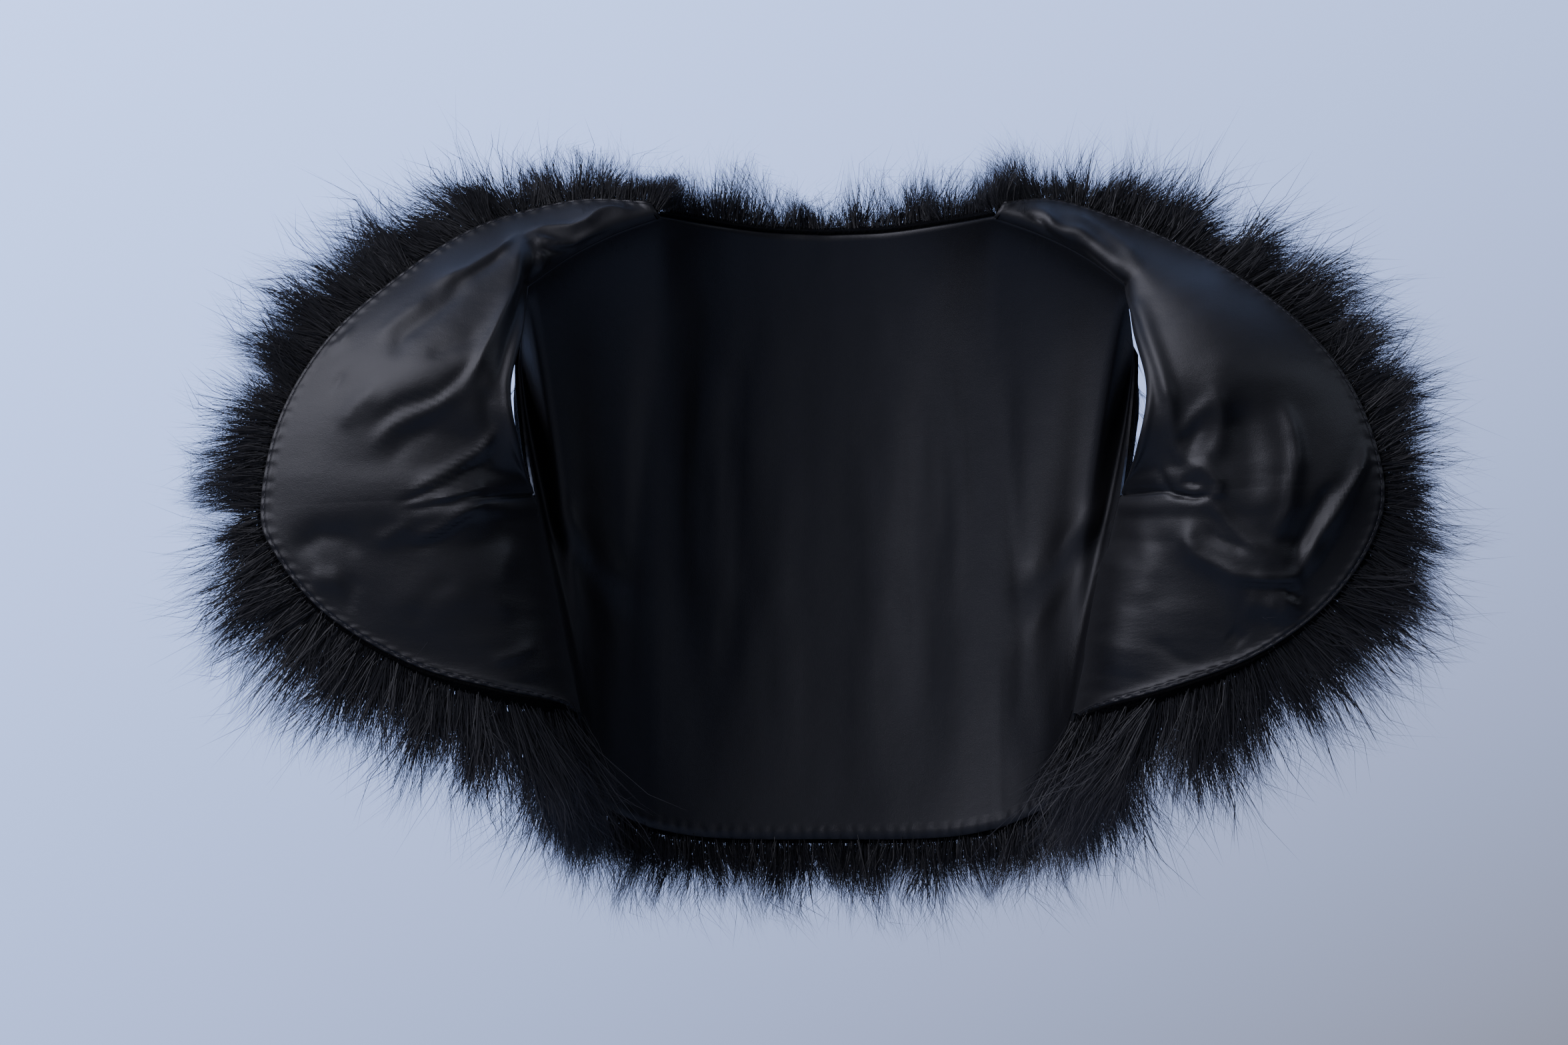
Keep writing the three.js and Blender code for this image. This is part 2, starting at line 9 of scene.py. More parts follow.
import bpy
import numpy as np
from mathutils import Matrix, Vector


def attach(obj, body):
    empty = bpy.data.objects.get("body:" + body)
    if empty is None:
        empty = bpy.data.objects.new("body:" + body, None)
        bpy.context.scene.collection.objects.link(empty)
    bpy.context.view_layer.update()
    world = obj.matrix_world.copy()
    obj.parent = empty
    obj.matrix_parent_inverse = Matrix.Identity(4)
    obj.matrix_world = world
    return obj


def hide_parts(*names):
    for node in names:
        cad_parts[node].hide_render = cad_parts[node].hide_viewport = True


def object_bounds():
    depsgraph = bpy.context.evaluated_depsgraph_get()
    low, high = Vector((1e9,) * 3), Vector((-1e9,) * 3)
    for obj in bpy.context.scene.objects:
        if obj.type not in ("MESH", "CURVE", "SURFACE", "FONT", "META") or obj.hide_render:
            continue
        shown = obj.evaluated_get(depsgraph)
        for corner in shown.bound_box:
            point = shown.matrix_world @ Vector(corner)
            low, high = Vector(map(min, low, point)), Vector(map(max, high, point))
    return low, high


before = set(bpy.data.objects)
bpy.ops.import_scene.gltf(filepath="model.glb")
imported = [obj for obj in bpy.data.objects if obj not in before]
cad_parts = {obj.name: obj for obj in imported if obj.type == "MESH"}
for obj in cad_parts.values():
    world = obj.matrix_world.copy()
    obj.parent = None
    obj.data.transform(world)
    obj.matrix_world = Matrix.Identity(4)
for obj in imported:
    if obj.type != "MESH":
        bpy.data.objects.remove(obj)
cad_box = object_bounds()


# The satin linings: two leaf-shaped fronts and a back of black polyester satin, cut to the shapes of the
# outers and sewn to each other along the shoulders and the sides. Both fronts are turned back, so that
# their satin shows. Each has a dart taken in from the underarm, and its free edge is rolled over, ready
# for the topstitching.
class Table:
    """Rows with named columns, read smoothly at places between rows. A corner row breaks the curve."""

    def __init__(self, columns, rows, corners=()):
        self.columns = columns.split()
        self.rows = np.array(rows, float)
        self.corner = np.isin(np.arange(len(rows)), corners)
        self.last = len(rows) - 1

    def read(self, names, at):
        at = np.clip(np.asarray(at, float), 0, self.last)
        i = np.clip(np.floor(at).astype(int), 0, self.last - 1)
        t = (at - i)[..., None]
        v = self.rows[:, [self.columns.index(name) for name in names.split()]]
        a, b = v[i], v[i + 1]
        smooth_start = ((i > 0) & ~self.corner[i])[..., None]
        smooth_end = ((i < self.last - 1) & ~self.corner[i + 1])[..., None]
        before = np.where(smooth_start, v[np.maximum(i - 1, 0)], 2 * a - b)
        after = np.where(smooth_end, v[np.minimum(i + 2, self.last)], 2 * b - a)
        bend = 2 * before - 5 * a + 4 * b - after + t * (3 * (a - b) + after - before)
        return a + 0.5 * t * (b - before + t * bend)


# The inner edge of a front, from the neck over the shoulder and down the armhole and the side seam.
SHOULDER_TIP, UNDERARM = 3, 7
SEAM = Table(
    "x y z",
    [
        (88, 14, 0),
        (112, 10, -9),
        (135, 6, -21),
        (157, 0, -37),
        (157, -30, -62),
        (162, -50, -92),
        (158, -48, -122),
        (153, -8, -147),
        (148, 0, -172),
        (143, 5, -196),
        (139, 8, -218),
        (135, 10, -238),
        (132, 11, -252),
        (130, 12, -262),
    ],
    corners=(SHOULDER_TIP, UNDERARM),
)
LAST_ROW = SEAM.last
# The free edge of each front, row for row. Forward and belly are how far the cloth stands off near the
# seam and farther out, and turn is how far along it goes before it turns.
RIGHT_EDGE = Table(
    "x y z forward belly turn",
    [
        (94, 14, 9, 5, 3, 0.3),
        (128, 22, 11, 14, 8, 0.3),
        (159, 19, 5, 17, 9, 0.3),
        (190, 8, -7, 22, 12, 0.3),
        (226, -10, -33, 22, 16, 0.3),
        (261, -26, -67, 20, 20, 0.3),
        (284, -36, -108, 26, 22, 0.26),
        (292, -44, -153, 60, 26, 0.13),
        (284, -50, -177, 70, 26, 0.05),
        (257, -56, -208, 72, 22, 0.03),
        (213, -60, -233, 66, 16, 0.01),
        (170, -58, -245, 50, 10, 0.0),
        (140, -40, -252, 26, 4, 0.0),
        (131, -12, -259, 6, 0, 0.0),
    ],
)
LEFT_EDGE = Table(
    "x y z forward belly turn",
    [
        (94, 14, 9, 5, 3, 0.3),
        (120, 22, 11, 14, 8, 0.3),
        (151, 19, 2, 18, 9, 0.3),
        (184, 8, -13, 23, 13, 0.3),
        (218, -10, -34, 24, 18, 0.3),
        (250, -26, -62, 22, 22, 0.3),
        (274, -36, -97, 28, 24, 0.26),
        (286, -44, -140, 62, 27, 0.13),
        (279, -50, -171, 72, 26, 0.05),
        (255, -56, -203, 72, 22, 0.03),
        (219, -60, -228, 66, 16, 0.01),
        (176, -58, -244, 50, 10, 0.0),
        (143, -40, -254, 26, 4, 0.0),
        (131, -12, -261, 6, 0, 0.0),
    ],
)
# How far across a front the corners of its seam are still felt, and how far towards its free edge the
# cloth has come where it stands off near the seam and farther out.
CORNERS_REACH, NEAR_TO_EDGE, FAR_TO_EDGE = 0.45, 0.15, 0.66
# The back from its centre to the side seam: its hem, its top, and how the cloth leaves the top and the
# hem.
BACK = Table(
    "x y z top_x top_y top_z back drop lean rise",
    [
        (0, 84, -335, 0, 62, -6, 34, 72, 14, 105),
        (38, 83, -335, 32, 57, -5, 36, 66, 14, 105),
        (70, 78, -333, 63, 41, -2, 44, 50, 13, 102),
        (94, 71, -328, 88, 14, 0, 56, 26, 12, 98),
        (107, 63, -322, 112, 10, -9, 56, 20, 10, 92),
        (118, 54, -315, 135, 6, -21, 52, 18, 9, 86),
        (126, 43, -305, 157, 0, -37, 46, 18, 8, 78),
        (130, 33, -292, 164, 36, -72, 20, 34, 6, 62),
        (131, 23, -278, 160, 30, -118, 10, 30, 4, 46),
        (130, 12, -262, 153, -8, -147, 8, 30, 2, 34),
    ],
    corners=(3, 6),
)
SIDE_COLUMN = BACK.last
NECK_POINT = 3


def smoothstep(value, low, high):
    t = np.clip((value - low) / (high - low), 0, 1)
    return t * t * (3 - 2 * t)


def bezier(p0, p1, p2, p3, t):
    t = np.asarray(t)[..., None]
    s = 1 - t
    return s**3 * p0 + 3 * s * s * t * p1 + 3 * s * t * t * p2 + t**3 * p3


def unit(v):
    return v / np.maximum(np.linalg.norm(v, axis=-1, keepdims=True), 1e-9)


class Front:
    """A turned-back front: row runs from the neck down to the hem, across from the seam to the free edge."""

    def __init__(self, name, side, edge):
        self.name, self.side, self.edge = name, side, edge
        self.ranges = (0, LAST_ROW), (0, 1)

    def place(self, row, across):
        row, across = np.broadcast_arrays(row, across)
        seam, edge = SEAM.read("x y z", row), self.edge.read("x y z", row)
        forward, belly, turn = np.moveaxis(self.edge.read("forward belly turn", row), -1, 0)
        reach = np.minimum(1, np.minimum(row / 2, (LAST_ROW - row) / 2))
        eased = sum(SEAM.read("x y z", row + step * reach) for step in (-1, -0.5, 0, 0.5, 1)) / 5
        near = eased + (edge - eased) * turn[..., None]
        near[..., 1] = eased[..., 1] * (1 - NEAR_TO_EDGE) + edge[..., 1] * NEAR_TO_EDGE - forward
        far = eased + (edge - eased) * FAR_TO_EDGE
        far[..., 1] -= belly
        corner = (seam - eased) * (np.clip(1 - across / CORNERS_REACH, 0, 1) ** 2)[..., None]
        return (bezier(eased, near, far, edge, across) + corner) * (self.side, 1, 1)

    def out(self, row, across):
        return out_of(self, row, across) * -self.side

    def seam_column(self, row):
        """Where on the back a place on this front's seams is sewn."""
        shoulder = row <= SHOULDER_TIP
        column = np.where(shoulder, NECK_POINT + row, SIDE_COLUMN)
        up = np.where(shoulder, 1, (LAST_ROW - row) / (LAST_ROW - UNDERARM))
        return self.side * column, up


class Back:
    """The back: column runs from the right side seam to the left one, up from the hem to the top."""

    ranges = (-SIDE_COLUMN, SIDE_COLUMN), (0, 1)

    def place(self, column, up):
        column, up = np.broadcast_arrays(column, up)
        c = np.abs(column)
        ease = smoothstep(c, 7, SIDE_COLUMN)[..., None]
        side_seam = SEAM.read("x y z", LAST_ROW + (UNDERARM - LAST_ROW) * up)
        found = self.panel_line(c, up)
        found = found + (side_seam - self.panel_line(np.full_like(c, SIDE_COLUMN), up)) * ease
        return found * np.stack([np.where(column < 0, -1, 1), np.ones(c.shape), np.ones(c.shape)], -1)

    def panel_line(self, c, up):
        """One line of cloth, from the hem up to the top."""
        hem, top = BACK.read("x y z", c), BACK.read("top_x top_y top_z", c)
        back, drop, lean, rise = np.moveaxis(BACK.read("back drop lean rise", c), -1, 0)
        low = hem + np.stack([0 * lean, lean, rise], -1)
        high = top + np.stack([0 * back, back, -drop], -1)
        return bezier(hem, low, high, top, up)

    def out(self, column, up):
        return -out_of(self, column, up)


def out_of(surface, a, b, step=0.02):
    (a_low, a_high), (b_low, b_high) = surface.ranges
    along_a = surface.place(np.minimum(a + step, a_high), b) - surface.place(np.maximum(a - step, a_low), b)
    along_b = surface.place(a, np.minimum(b + step, b_high)) - surface.place(a, np.maximum(b - step, b_low))
    return unit(np.cross(along_a, along_b))


right, left, back = Front("right", -1, RIGHT_EDGE), Front("left", 1, LEFT_EDGE), Back()


def shared_out(front, row):
    """The one direction in which both walls are built out along a seam, so their cut ends lie parallel."""
    a, b = front.out(row, np.zeros_like(row)), back.out(*front.seam_column(row))
    return (a + b) / (1 + np.sum(a * b, -1, keepdims=True))


def pull_in(place, gap=0.15):
    """Moves the border of a grid in by half a seam's gap."""
    moved = place.copy()
    moved[0] += unit(place[1] - place[0]) * gap
    moved[-1] += unit(place[-2] - place[-1]) * gap
    moved[:, 0] += unit(place[:, 1] - place[:, 0]) * gap
    moved[:, -1] += unit(place[:, -2] - place[:, -1]) * gap
    return moved


def front_grid(front, rows, acrosses):
    row, across = np.meshgrid(rows, acrosses, indexing="ij")
    out = front.out(row, across)
    sewn = (rows <= SHOULDER_TIP) | (rows >= UNDERARM)
    out[sewn, 0] = shared_out(front, rows[sewn])
    return row, across, pull_in(front.place(row, across)), out


def back_grid(columns, ups):
    column, up = np.meshgrid(columns, ups, indexing="ij")
    out = back.out(column, up)
    for front in (right, left):
        c = columns * front.side
        on_shoulder = (c >= NECK_POINT) & (c <= NECK_POINT + SHOULDER_TIP)
        out[on_shoulder, -1] = shared_out(front, c[on_shoulder] - NECK_POINT)
        out[0 if front.side < 0 else -1] = shared_out(front, LAST_ROW + (UNDERARM - LAST_ROW) * ups)
    return column, up, pull_in(back.place(column, up)), out


def finish_mesh(name, points, faces, material, smooth=None):
    mesh = bpy.data.meshes.new(name)
    mesh.from_pydata(points * 0.001, [], faces)
    smooth = np.ones(len(faces), bool) if smooth is None else smooth
    mesh.polygons.foreach_set("use_smooth", smooth)
    mesh.materials.append(material)
    made = bpy.data.objects.new(name, mesh)
    bpy.context.scene.collection.objects.link(made)
    return made


def grid_faces(rows, columns, start=0):
    first = start + np.arange(rows - 1)[:, None] * columns + np.arange(columns - 1)
    return np.stack([first, first + columns, first + columns + 1, first + 1], -1).reshape(-1, 4)


def wall(name, inner, outer, material, uv=None):
    """A closed wall of cloth between two grids of points. Its flat-shaded rim shows as a cut edge."""
    rows, columns = inner.shape[:2]
    points = np.concatenate([inner.reshape(-1, 3), outer.reshape(-1, 3)])
    ids = np.arange(2 * rows * columns).reshape(2, rows, columns)
    border = np.concatenate([ids[:, 0, :-1], ids[:, :-1, -1], ids[:, -1, :0:-1], ids[:, :0:-1, 0]], 1)
    ring = np.concatenate([border, border[:, :1]], 1)
    rim = np.stack([ring[0, :-1], ring[0, 1:], ring[1, 1:], ring[1, :-1]], -1)
    outside = grid_faces(rows, columns, rows * columns)[:, ::-1]
    faces = np.concatenate([grid_faces(rows, columns), outside, rim])
    a, b, c, d = (points[faces[:, k]] for k in range(4))
    if np.sum(a * np.cross(b, c)) + np.sum(a * np.cross(c, d)) < 0:
        faces = faces[:, ::-1]
    smooth = np.arange(len(faces)) < len(faces) - len(rim)
    made = finish_mesh(name, points, faces.tolist(), material, smooth)
    if uv is not None:
        layer = made.data.uv_layers.new(name="cloth")
        both = np.concatenate([uv.reshape(-1, 2)] * 2) * 0.001
        layer.data.foreach_set("uv", both[faces.ravel()].astype("f").ravel())
    return made


def rgb(hex_colour):
    parts = [int(hex_colour[k : k + 2], 16) / 255 for k in (1, 3, 5)]
    return [c / 12.92 if c < 0.04045 else ((c + 0.055) / 1.055) ** 2.4 for c in parts] + [1]


def add_node(tree, kind, inputs=None, **settings):
    """Adds a node with its settings, and sets or links its inputs, each by name or number."""
    made = tree.nodes.new(kind)
    for key, value in settings.items():
        setattr(made, key, value)
    for key, value in (inputs or {}).items():
        if isinstance(value, bpy.types.NodeSocket):
            tree.links.new(value, made.inputs[key])
        else:
            made.inputs[key].default_value = value
    return made


def new_material(name):
    material = bpy.data.materials.new(name)
    material.use_nodes = True
    return material, material.node_tree, material.node_tree.nodes["Principled BSDF"]


def repeats(millimetres):
    """How many times a pattern of this size fits in a metre."""
    return 1000 / millimetres


def bands(millimetres):
    """The scale at which a wave pattern's bands lie this far apart."""
    return 2 * math.pi / 20 * repeats(millimetres)


# Sizes in the satin, in millimetres. Real threads lie about 0.06 mm apart, too fine to show, so they are
# drawn twice as coarse, and the weave's grain ten times.
THREAD_SPACING, GRAIN_SIZE, SLUB_LONG, MOTTLE_WIDE = 0.131, 0.714, 4.55, 16.7
PUCKER_SPACING, PUCKERS_REACH_IN = 7.48, 9
UNEVEN_LONG, UNEVEN_WIDE, UNEVEN_SLANT = 62.5, 33.3, 0.7


def black_satin():
    """Woven polyester satin: its long floats give a directional gloss, and the stitched edge puckers."""
    material, tree, shader = new_material("black_satin")
    cloth = add_node(tree, "ShaderNodeUVMap", uv_map="cloth").outputs["UV"]
    from_edge = add_node(tree, "ShaderNodeSeparateXYZ", {"Vector": cloth}).outputs["X"]
    mottle = add_node(
        tree, "ShaderNodeTexNoise", {"Vector": cloth, "Scale": repeats(MOTTLE_WIDE), "Detail": 4.0}
    ).outputs["Fac"]
    ramp = add_node(tree, "ShaderNodeValToRGB", {"Fac": mottle})
    ramp.color_ramp.elements[0].color = rgb("#0c0c0e")
    ramp.color_ramp.elements[1].color = rgb("#141418")
    tree.links.new(ramp.outputs["Color"], shader.inputs["Base Color"])
    rough = add_node(tree, "ShaderNodeMapRange", {"Value": mottle, "To Min": 0.43, "To Max": 0.49})
    tree.links.new(rough.outputs["Result"], shader.inputs["Roughness"])

    threads = add_node(
        tree, "ShaderNodeTexWave", {"Vector": cloth, "Scale": bands(THREAD_SPACING), "Distortion": 0.6}
    )
    slant = {"Rotation": (0, 0, UNEVEN_SLANT), "Scale": (repeats(UNEVEN_LONG), repeats(UNEVEN_WIDE), 1)}
    slanted = add_node(tree, "ShaderNodeMapping", {"Vector": cloth, **slant}).outputs["Vector"]
    uneven = add_node(tree, "ShaderNodeTexNoise", {"Vector": slanted, "Scale": 1.0, "Detail": 1.0})
    slub = add_node(
        tree, "ShaderNodeTexNoise", {"Vector": cloth, "Scale": repeats(SLUB_LONG), "Detail": 3.0}
    )
    grain = add_node(
        tree, "ShaderNodeTexNoise", {"Vector": cloth, "Scale": repeats(GRAIN_SIZE), "Detail": 1.0}
    )
    near_edge = add_node(
        tree,
        "ShaderNodeMapRange",
        {"Value": from_edge, "From Max": PUCKERS_REACH_IN / 1000, "To Min": 1.0, "To Max": 0.0},
    )
    pucker = add_node(
        tree,
        "ShaderNodeTexWave",
        {"Vector": cloth, "Scale": bands(PUCKER_SPACING), "Distortion": 3.0, "Detail Scale": 1.5},
        bands_direction="Y",
    )
    puckers = add_node(
        tree,
        "ShaderNodeMath",
        {0: near_edge.outputs["Result"], 1: pucker.outputs["Fac"]},
        operation="MULTIPLY",
    )
    normal = None
    for height, distance, strength in (
        (uneven.outputs["Fac"], 0.0013, 0.8),
        (puckers.outputs["Value"], 0.0007, 0.8),
        (slub.outputs["Fac"], 0.0003, 0.25),
        (grain.outputs["Fac"], 0.00012, 0.5),
        (threads.outputs["Fac"], 0.00002, 0.25),
    ):
        relief = {"Height": height, "Distance": distance, "Strength": strength}
        bump = add_node(tree, "ShaderNodeBump", relief)
        if normal:
            tree.links.new(normal, bump.inputs["Normal"])
        normal = bump.outputs["Normal"]
    tree.links.new(normal, shader.inputs["Normal"])
    tangent = add_node(tree, "ShaderNodeTangent", direction_type="UV_MAP", uv_map="cloth")
    tree.links.new(tangent.outputs["Tangent"], shader.inputs["Tangent"])
    shader.inputs["Anisotropic"].default_value = 0.4
    shader.inputs["Specular IOR Level"].default_value = 0.6
    shader.inputs["Sheen Weight"].default_value = 0.05
    shader.inputs["Sheen Roughness"].default_value = 0.4
    return material


satin = black_satin()


def ridges(place, surface, folds):
    """The largest folds, in the places of the solids': row, across, to row, to across, width and height."""
    total = np.zeros(place.shape[:2])
    for row, across, to_row, to_across, wide, high in folds:
        a = surface.place(np.array(row), np.array(across))
        b = surface.place(np.array(to_row), np.array(to_across))
        share = np.clip(np.sum((place - a) * (b - a), -1) / np.sum((b - a) ** 2), 0, 1)
        off = np.linalg.norm(place - (a + (b - a) * share[..., None]), axis=-1) / wide
        total += high * np.sin(np.pi * (0.15 + 0.7 * share)) * np.exp(-3 * off * off)
    return total


def creases(place, table):
    """Creases along given paths. Each fades out towards the ends of its path."""
    total = np.zeros(place.shape[:2])
    flat = np.abs(place[..., 0]), place[..., 2]
    for wide, high, sharp, path in table:
        path = np.array(path, float)
        lengths = np.linalg.norm(np.diff(path, axis=0), axis=1)
        ends = np.concatenate([[0], np.cumsum(lengths)]) / lengths.sum()
        nearest, share_at = np.full(total.shape, 1e9), np.zeros(total.shape)
        for (ax, az), (bx, bz), start, end in zip(path[:-1], path[1:], ends[:-1], ends[1:]):
            dx, dz = bx - ax, bz - az
            t = np.clip(((flat[0] - ax) * dx + (flat[1] - az) * dz) / (dx * dx + dz * dz), 0, 1)
            off = np.hypot(flat[0] - ax - dx * t, flat[1] - az - dz * t)
            closer = off < nearest
            share_at = np.where(closer, start + (end - start) * t, share_at)
            nearest = np.minimum(nearest, off)
        fade = np.minimum(1, 1.6 * np.sin(np.pi * (0.02 + 0.96 * share_at)))
        total += high * fade * np.exp(-2.2 * (nearest / wide) ** sharp)
    return total


FRONT_FOLDS = {
    "right": [
        (2.7, 0.5, 4.7, 0.1, 20, 2.6),
        (4.9, 0.35, 6.0, 0.72, 26, 2.6),
        (3.4, 0.7, 4.6, 0.86, 22, 2.0),
        (7.45, 0.52, 7.1, 0.24, 18, 3.0),
        (8.4, 0.3, 9.2, 0.8, 26, 2.6),
    ],
    "left": [
        (1.6, 0.4, 3.4, 0.12, 18, 2.6),
        (3.4, 0.12, 6.8, 0.24, 22, 2.0),
        (5.2, 0.45, 6.7, 0.34, 18, 3.0),
        (6.8, 0.6, 7.9, 0.64, 22, 4.0),
        (6.3, 0.92, 8.1, 0.8, 22, 4.0),
        (7.9, 0.34, 8.5, 0.78, 20, 4.0),
    ],
}
BACK_FOLDS = [
    (1.4, 0.1, 2.2, 0.8, 30, 5),
    (-2.0, 0.12, -2.6, 0.75, 30, 5),
    (4.6, 0.15, 5.4, 0.85, 26, 5),
    (-5.0, 0.1, -5.2, 0.8, 26, 5),
]
# Of each crease: its width, its height (a trough is below 0), how sharp it is, and its places (x, z), with
# x counted away from the middle.
FRONT_CREASES = {
    "right": [
        # along the armhole
        (5.5, -1.9, 1.7, [(157, -20), (158, -31), (160, -44), (162, -56),
            (165, -67), (167, -80), (171, -93)]),
        (6.5, 3.2, 1.35, [(160, -13), (161, -23), (164, -37), (168, -52),
            (173, -66), (179, -80), (186, -93)]),
        (9, -2.1, 1.8, [(175, -92), (173, -108), (169, -122)]),
        # the pinch at the shoulder tip and the gathers beside it
        (4.2, 2.7, 1.35, [(160, -11), (155, -9), (149, -7), (134, -6),
            (126, -3), (121, 2), (114, 4), (102, 3)]),
        (3.8, 2.1, 1.4, [(156, -11), (150, -13), (142, -15), (134, -15), (127, -11), (115, -7)]),
        (3.0, -1.2, 1.5, [(152, -17), (142, -19), (135, -18), (139, -22)]),
        (3.0, -1.1, 1.5, [(127, -15), (122, -11), (115, -10)]),
        (3.0, -1.5, 1.5, [(156, -14), (153, -22), (154, -29), (156, -37)]),
        (3.0, 1.6, 1.5, [(151, -19), (149, -26), (152, -32)]),
        # long soft folds from the armhole towards the free edge
        (5, 1.9, 1.5, [(163, -10), (171, -19), (179, -25), (189, -32), (204, -38)]),
        (5, -1.4, 1.5, [(167, -19), (176, -27), (184, -32), (198, -41)]),
        (8, -1.7, 1.6, [(186, -36), (200, -50), (214, -61), (220, -66), (222, -78)]),
        (6, 1.1, 1.6, [(205, -46), (220, -56), (232, -66)]),
        (6, -0.9, 1.6, [(178, -64), (191, -70), (206, -76)]),
        (5, -1.6, 1.4, [(178, -76), (192, -90), (200, -97), (219, -102), (233, -112)]),
        (6.5, 2.1, 1.45, [(184, -92), (203, -104), (222, -113), (234, -124)]),
        (6, -0.9, 1.6, [(198, -110), (214, -119), (226, -131)]),
        (8, 1.3, 1.7, [(228, -92), (240, -100), (250, -114)]),
        # the dart and the folds that run from it
        (6, 3.4, 1.3, [(168, -112), (178, -126), (195, -137), (213, -148)]),
        (4.5, -2.1, 1.5, [(164, -118), (173, -127), (187, -136), (200, -143), (220, -153)]),
        (3, 1.6, 1.4, [(176, -143), (189, -147), (201, -150)]),
        (1.6, -0.8, 1.6, [(151, -147), (177, -149.5), (186, -151)]),
        (4, -1.4, 1.5, [(184, -151), (200, -153), (218, -156)]),
        (6, 3.0, 1.35, [(175, -151), (187, -156), (198, -165), (212, -171)]),
        (5, -1.5, 1.6, [(178, -156), (195, -168), (213, -175)]),
        (6, 1.6, 1.6, [(212, -161), (230, -173)]),
        # by the free edge
        (9, -1.7, 1.8, [(240, -179), (245, -169), (260, -168), (274, -177)]),
        (9, 1.6, 1.8, [(247, -190), (256, -191), (264, -189)]),
        (5, -0.9, 1.6, [(241, -188), (246, -207)]),
        (4, 1.3, 1.5, [(263, -74), (250, -68), (246, -61)]),
        (4, -0.9, 1.5, [(255, -92), (248, -85)]),
        (10, 1.4, 1.8, [(163, -168), (170, -192), (164, -214)]),
        (5, 1.1, 1.6, [(150, -224), (160, -229), (172, -233)]),
        (9, -1.0, 1.8, [(190, -188), (204, -200), (214, -214)]),
    ],
    "left": [
        # one long ridge down from the neck, past the shoulder and along the armhole, round to the dart
        (5.5, 2.4, 2, [(109, 5), (115, 2), (119, -6), (124, -9),
            (132, -10), (138, -15), (151, -27), (156, -37)]),
        (3.5, -1.6, 2, [(106, 2), (112, -3), (116, -9), (123, -14)]),
        (7, 1.6, 2, [(124, 5), (135, -1), (147, -8), (157, -17), (164, -28)]),
        (6, 2.4, 2, [(156, -37), (160, -47), (163, -56), (165, -65), (168, -76), (171, -87), (174, -99)]),
        (6, 2.4, 2, [(171, -87), (174, -99), (175, -110), (177, -121), (181, -128), (188, -132)]),
        (4, 2.3, 1.8, [(184, -131), (193, -135), (198, -141), (198, -146), (194, -150)]),
        (2.2, -1.6, 1.8, [(170, -134), (172, -139), (175, -146)]),
        # the dart, its lip and the hollow in its hook
        (1.6, -1.3, 1.8, [(154, -145), (174, -145)]),
        (2.4, -2.4, 1.8, [(173, -144), (177, -147), (187, -149), (194, -147)]),
        (3.6, -1.8, 2, [(181, -140), (190, -142)]),
        # the loop above the dart
        (5, 1.4, 2, [(178, -118), (182, -112), (187, -106), (192, -102), (196, -98)]),
        (6, 1.6, 2, [(196, -92), (200, -103), (201, -110), (200, -119), (197, -126), (190, -131)]),
        (4, -0.8, 2, [(189, -111), (185, -124)]),
        # from the dart's end down to the free edge
        (4.5, 2.2, 2, [(192, -150), (197, -154), (204, -162), (213, -170), (222, -176)]),
        (3, -1.6, 2, [(192, -164), (198, -170), (205, -173), (212, -177)]),
        (5.5, 2.6, 1.9, [(186, -160), (184, -170), (187, -178), (194, -182),
            (203, -187), (214, -190), (228, -191)]),
        (5, 2.4, 1.9, [(214, -190), (226, -191), (236, -189), (241, -185)]),
        (3.5, -2.6, 1.9, [(208, -192), (221, -194), (231, -195), (241, -201)]),
        (8, 1.8, 2, [(211, -203), (228, -205)]),
        # the two deep folds by the free edge
        (6, 3.0, 2, [(232, -100), (236, -113), (238, -122), (238, -130),
            (235, -142), (234, -153), (230, -161), (225, -171)]),
        (12, -1.8, 2, [(210, -100), (214, -119), (216, -136), (219, -152)]),
        (5, 3.6, 1.8, [(276, -120), (274, -130), (267, -142), (261, -151),
            (256, -159), (248, -170), (243, -181), (238, -188)]),
        (3, 1.4, 2, [(268, -147), (262, -157), (257, -167), (250, -178), (243, -188)]),
        (5, -2.6, 1.9, [(258, -141), (253, -148), (247, -158), (242, -168), (236, -178)]),
        # along the hem edge
        (26, 3.4, 2, [(198, -194), (240, -184)]),
        (12, 3.6, 2, [(227, -212), (236, -198)]),
        (20, 4, 2, [(152, -170), (146, -240)]),
        (5, -1.2, 2, [(204, -217), (212, -222)]),
        (5, -0.7, 2, [(165, -222), (180, -232), (194, -237)]),
        (9, 1.4, 2, [(160, -160), (166, -184), (160, -206)]),
    ],
}
BACK_CREASES = [
    (9, 2.2, 1.5, [(40, -40), (52, -110), (48, -190), (58, -270)]),
    (8, -1.8, 1.6, [(66, -70), (74, -140), (70, -210)]),
    (10, 1.8, 1.6, [(96, -60), (100, -130), (108, -220), (104, -290)]),
    (7, -1.6, 1.6, [(20, -120), (26, -200), (18, -300)]),
    (8, 2.4, 1.5, [(148, -150), (128, -178), (100, -200)]),
    (8, -2.0, 1.6, [(146, -165), (126, -198), (104, -226)]),
]
# How finely the fronts' satin is drawn, and how much closer together its lines lie at the edges.
ROWS_OF_SATIN, COLUMNS_OF_SATIN, EDGES_CLOSER = 161, 94, 0.55
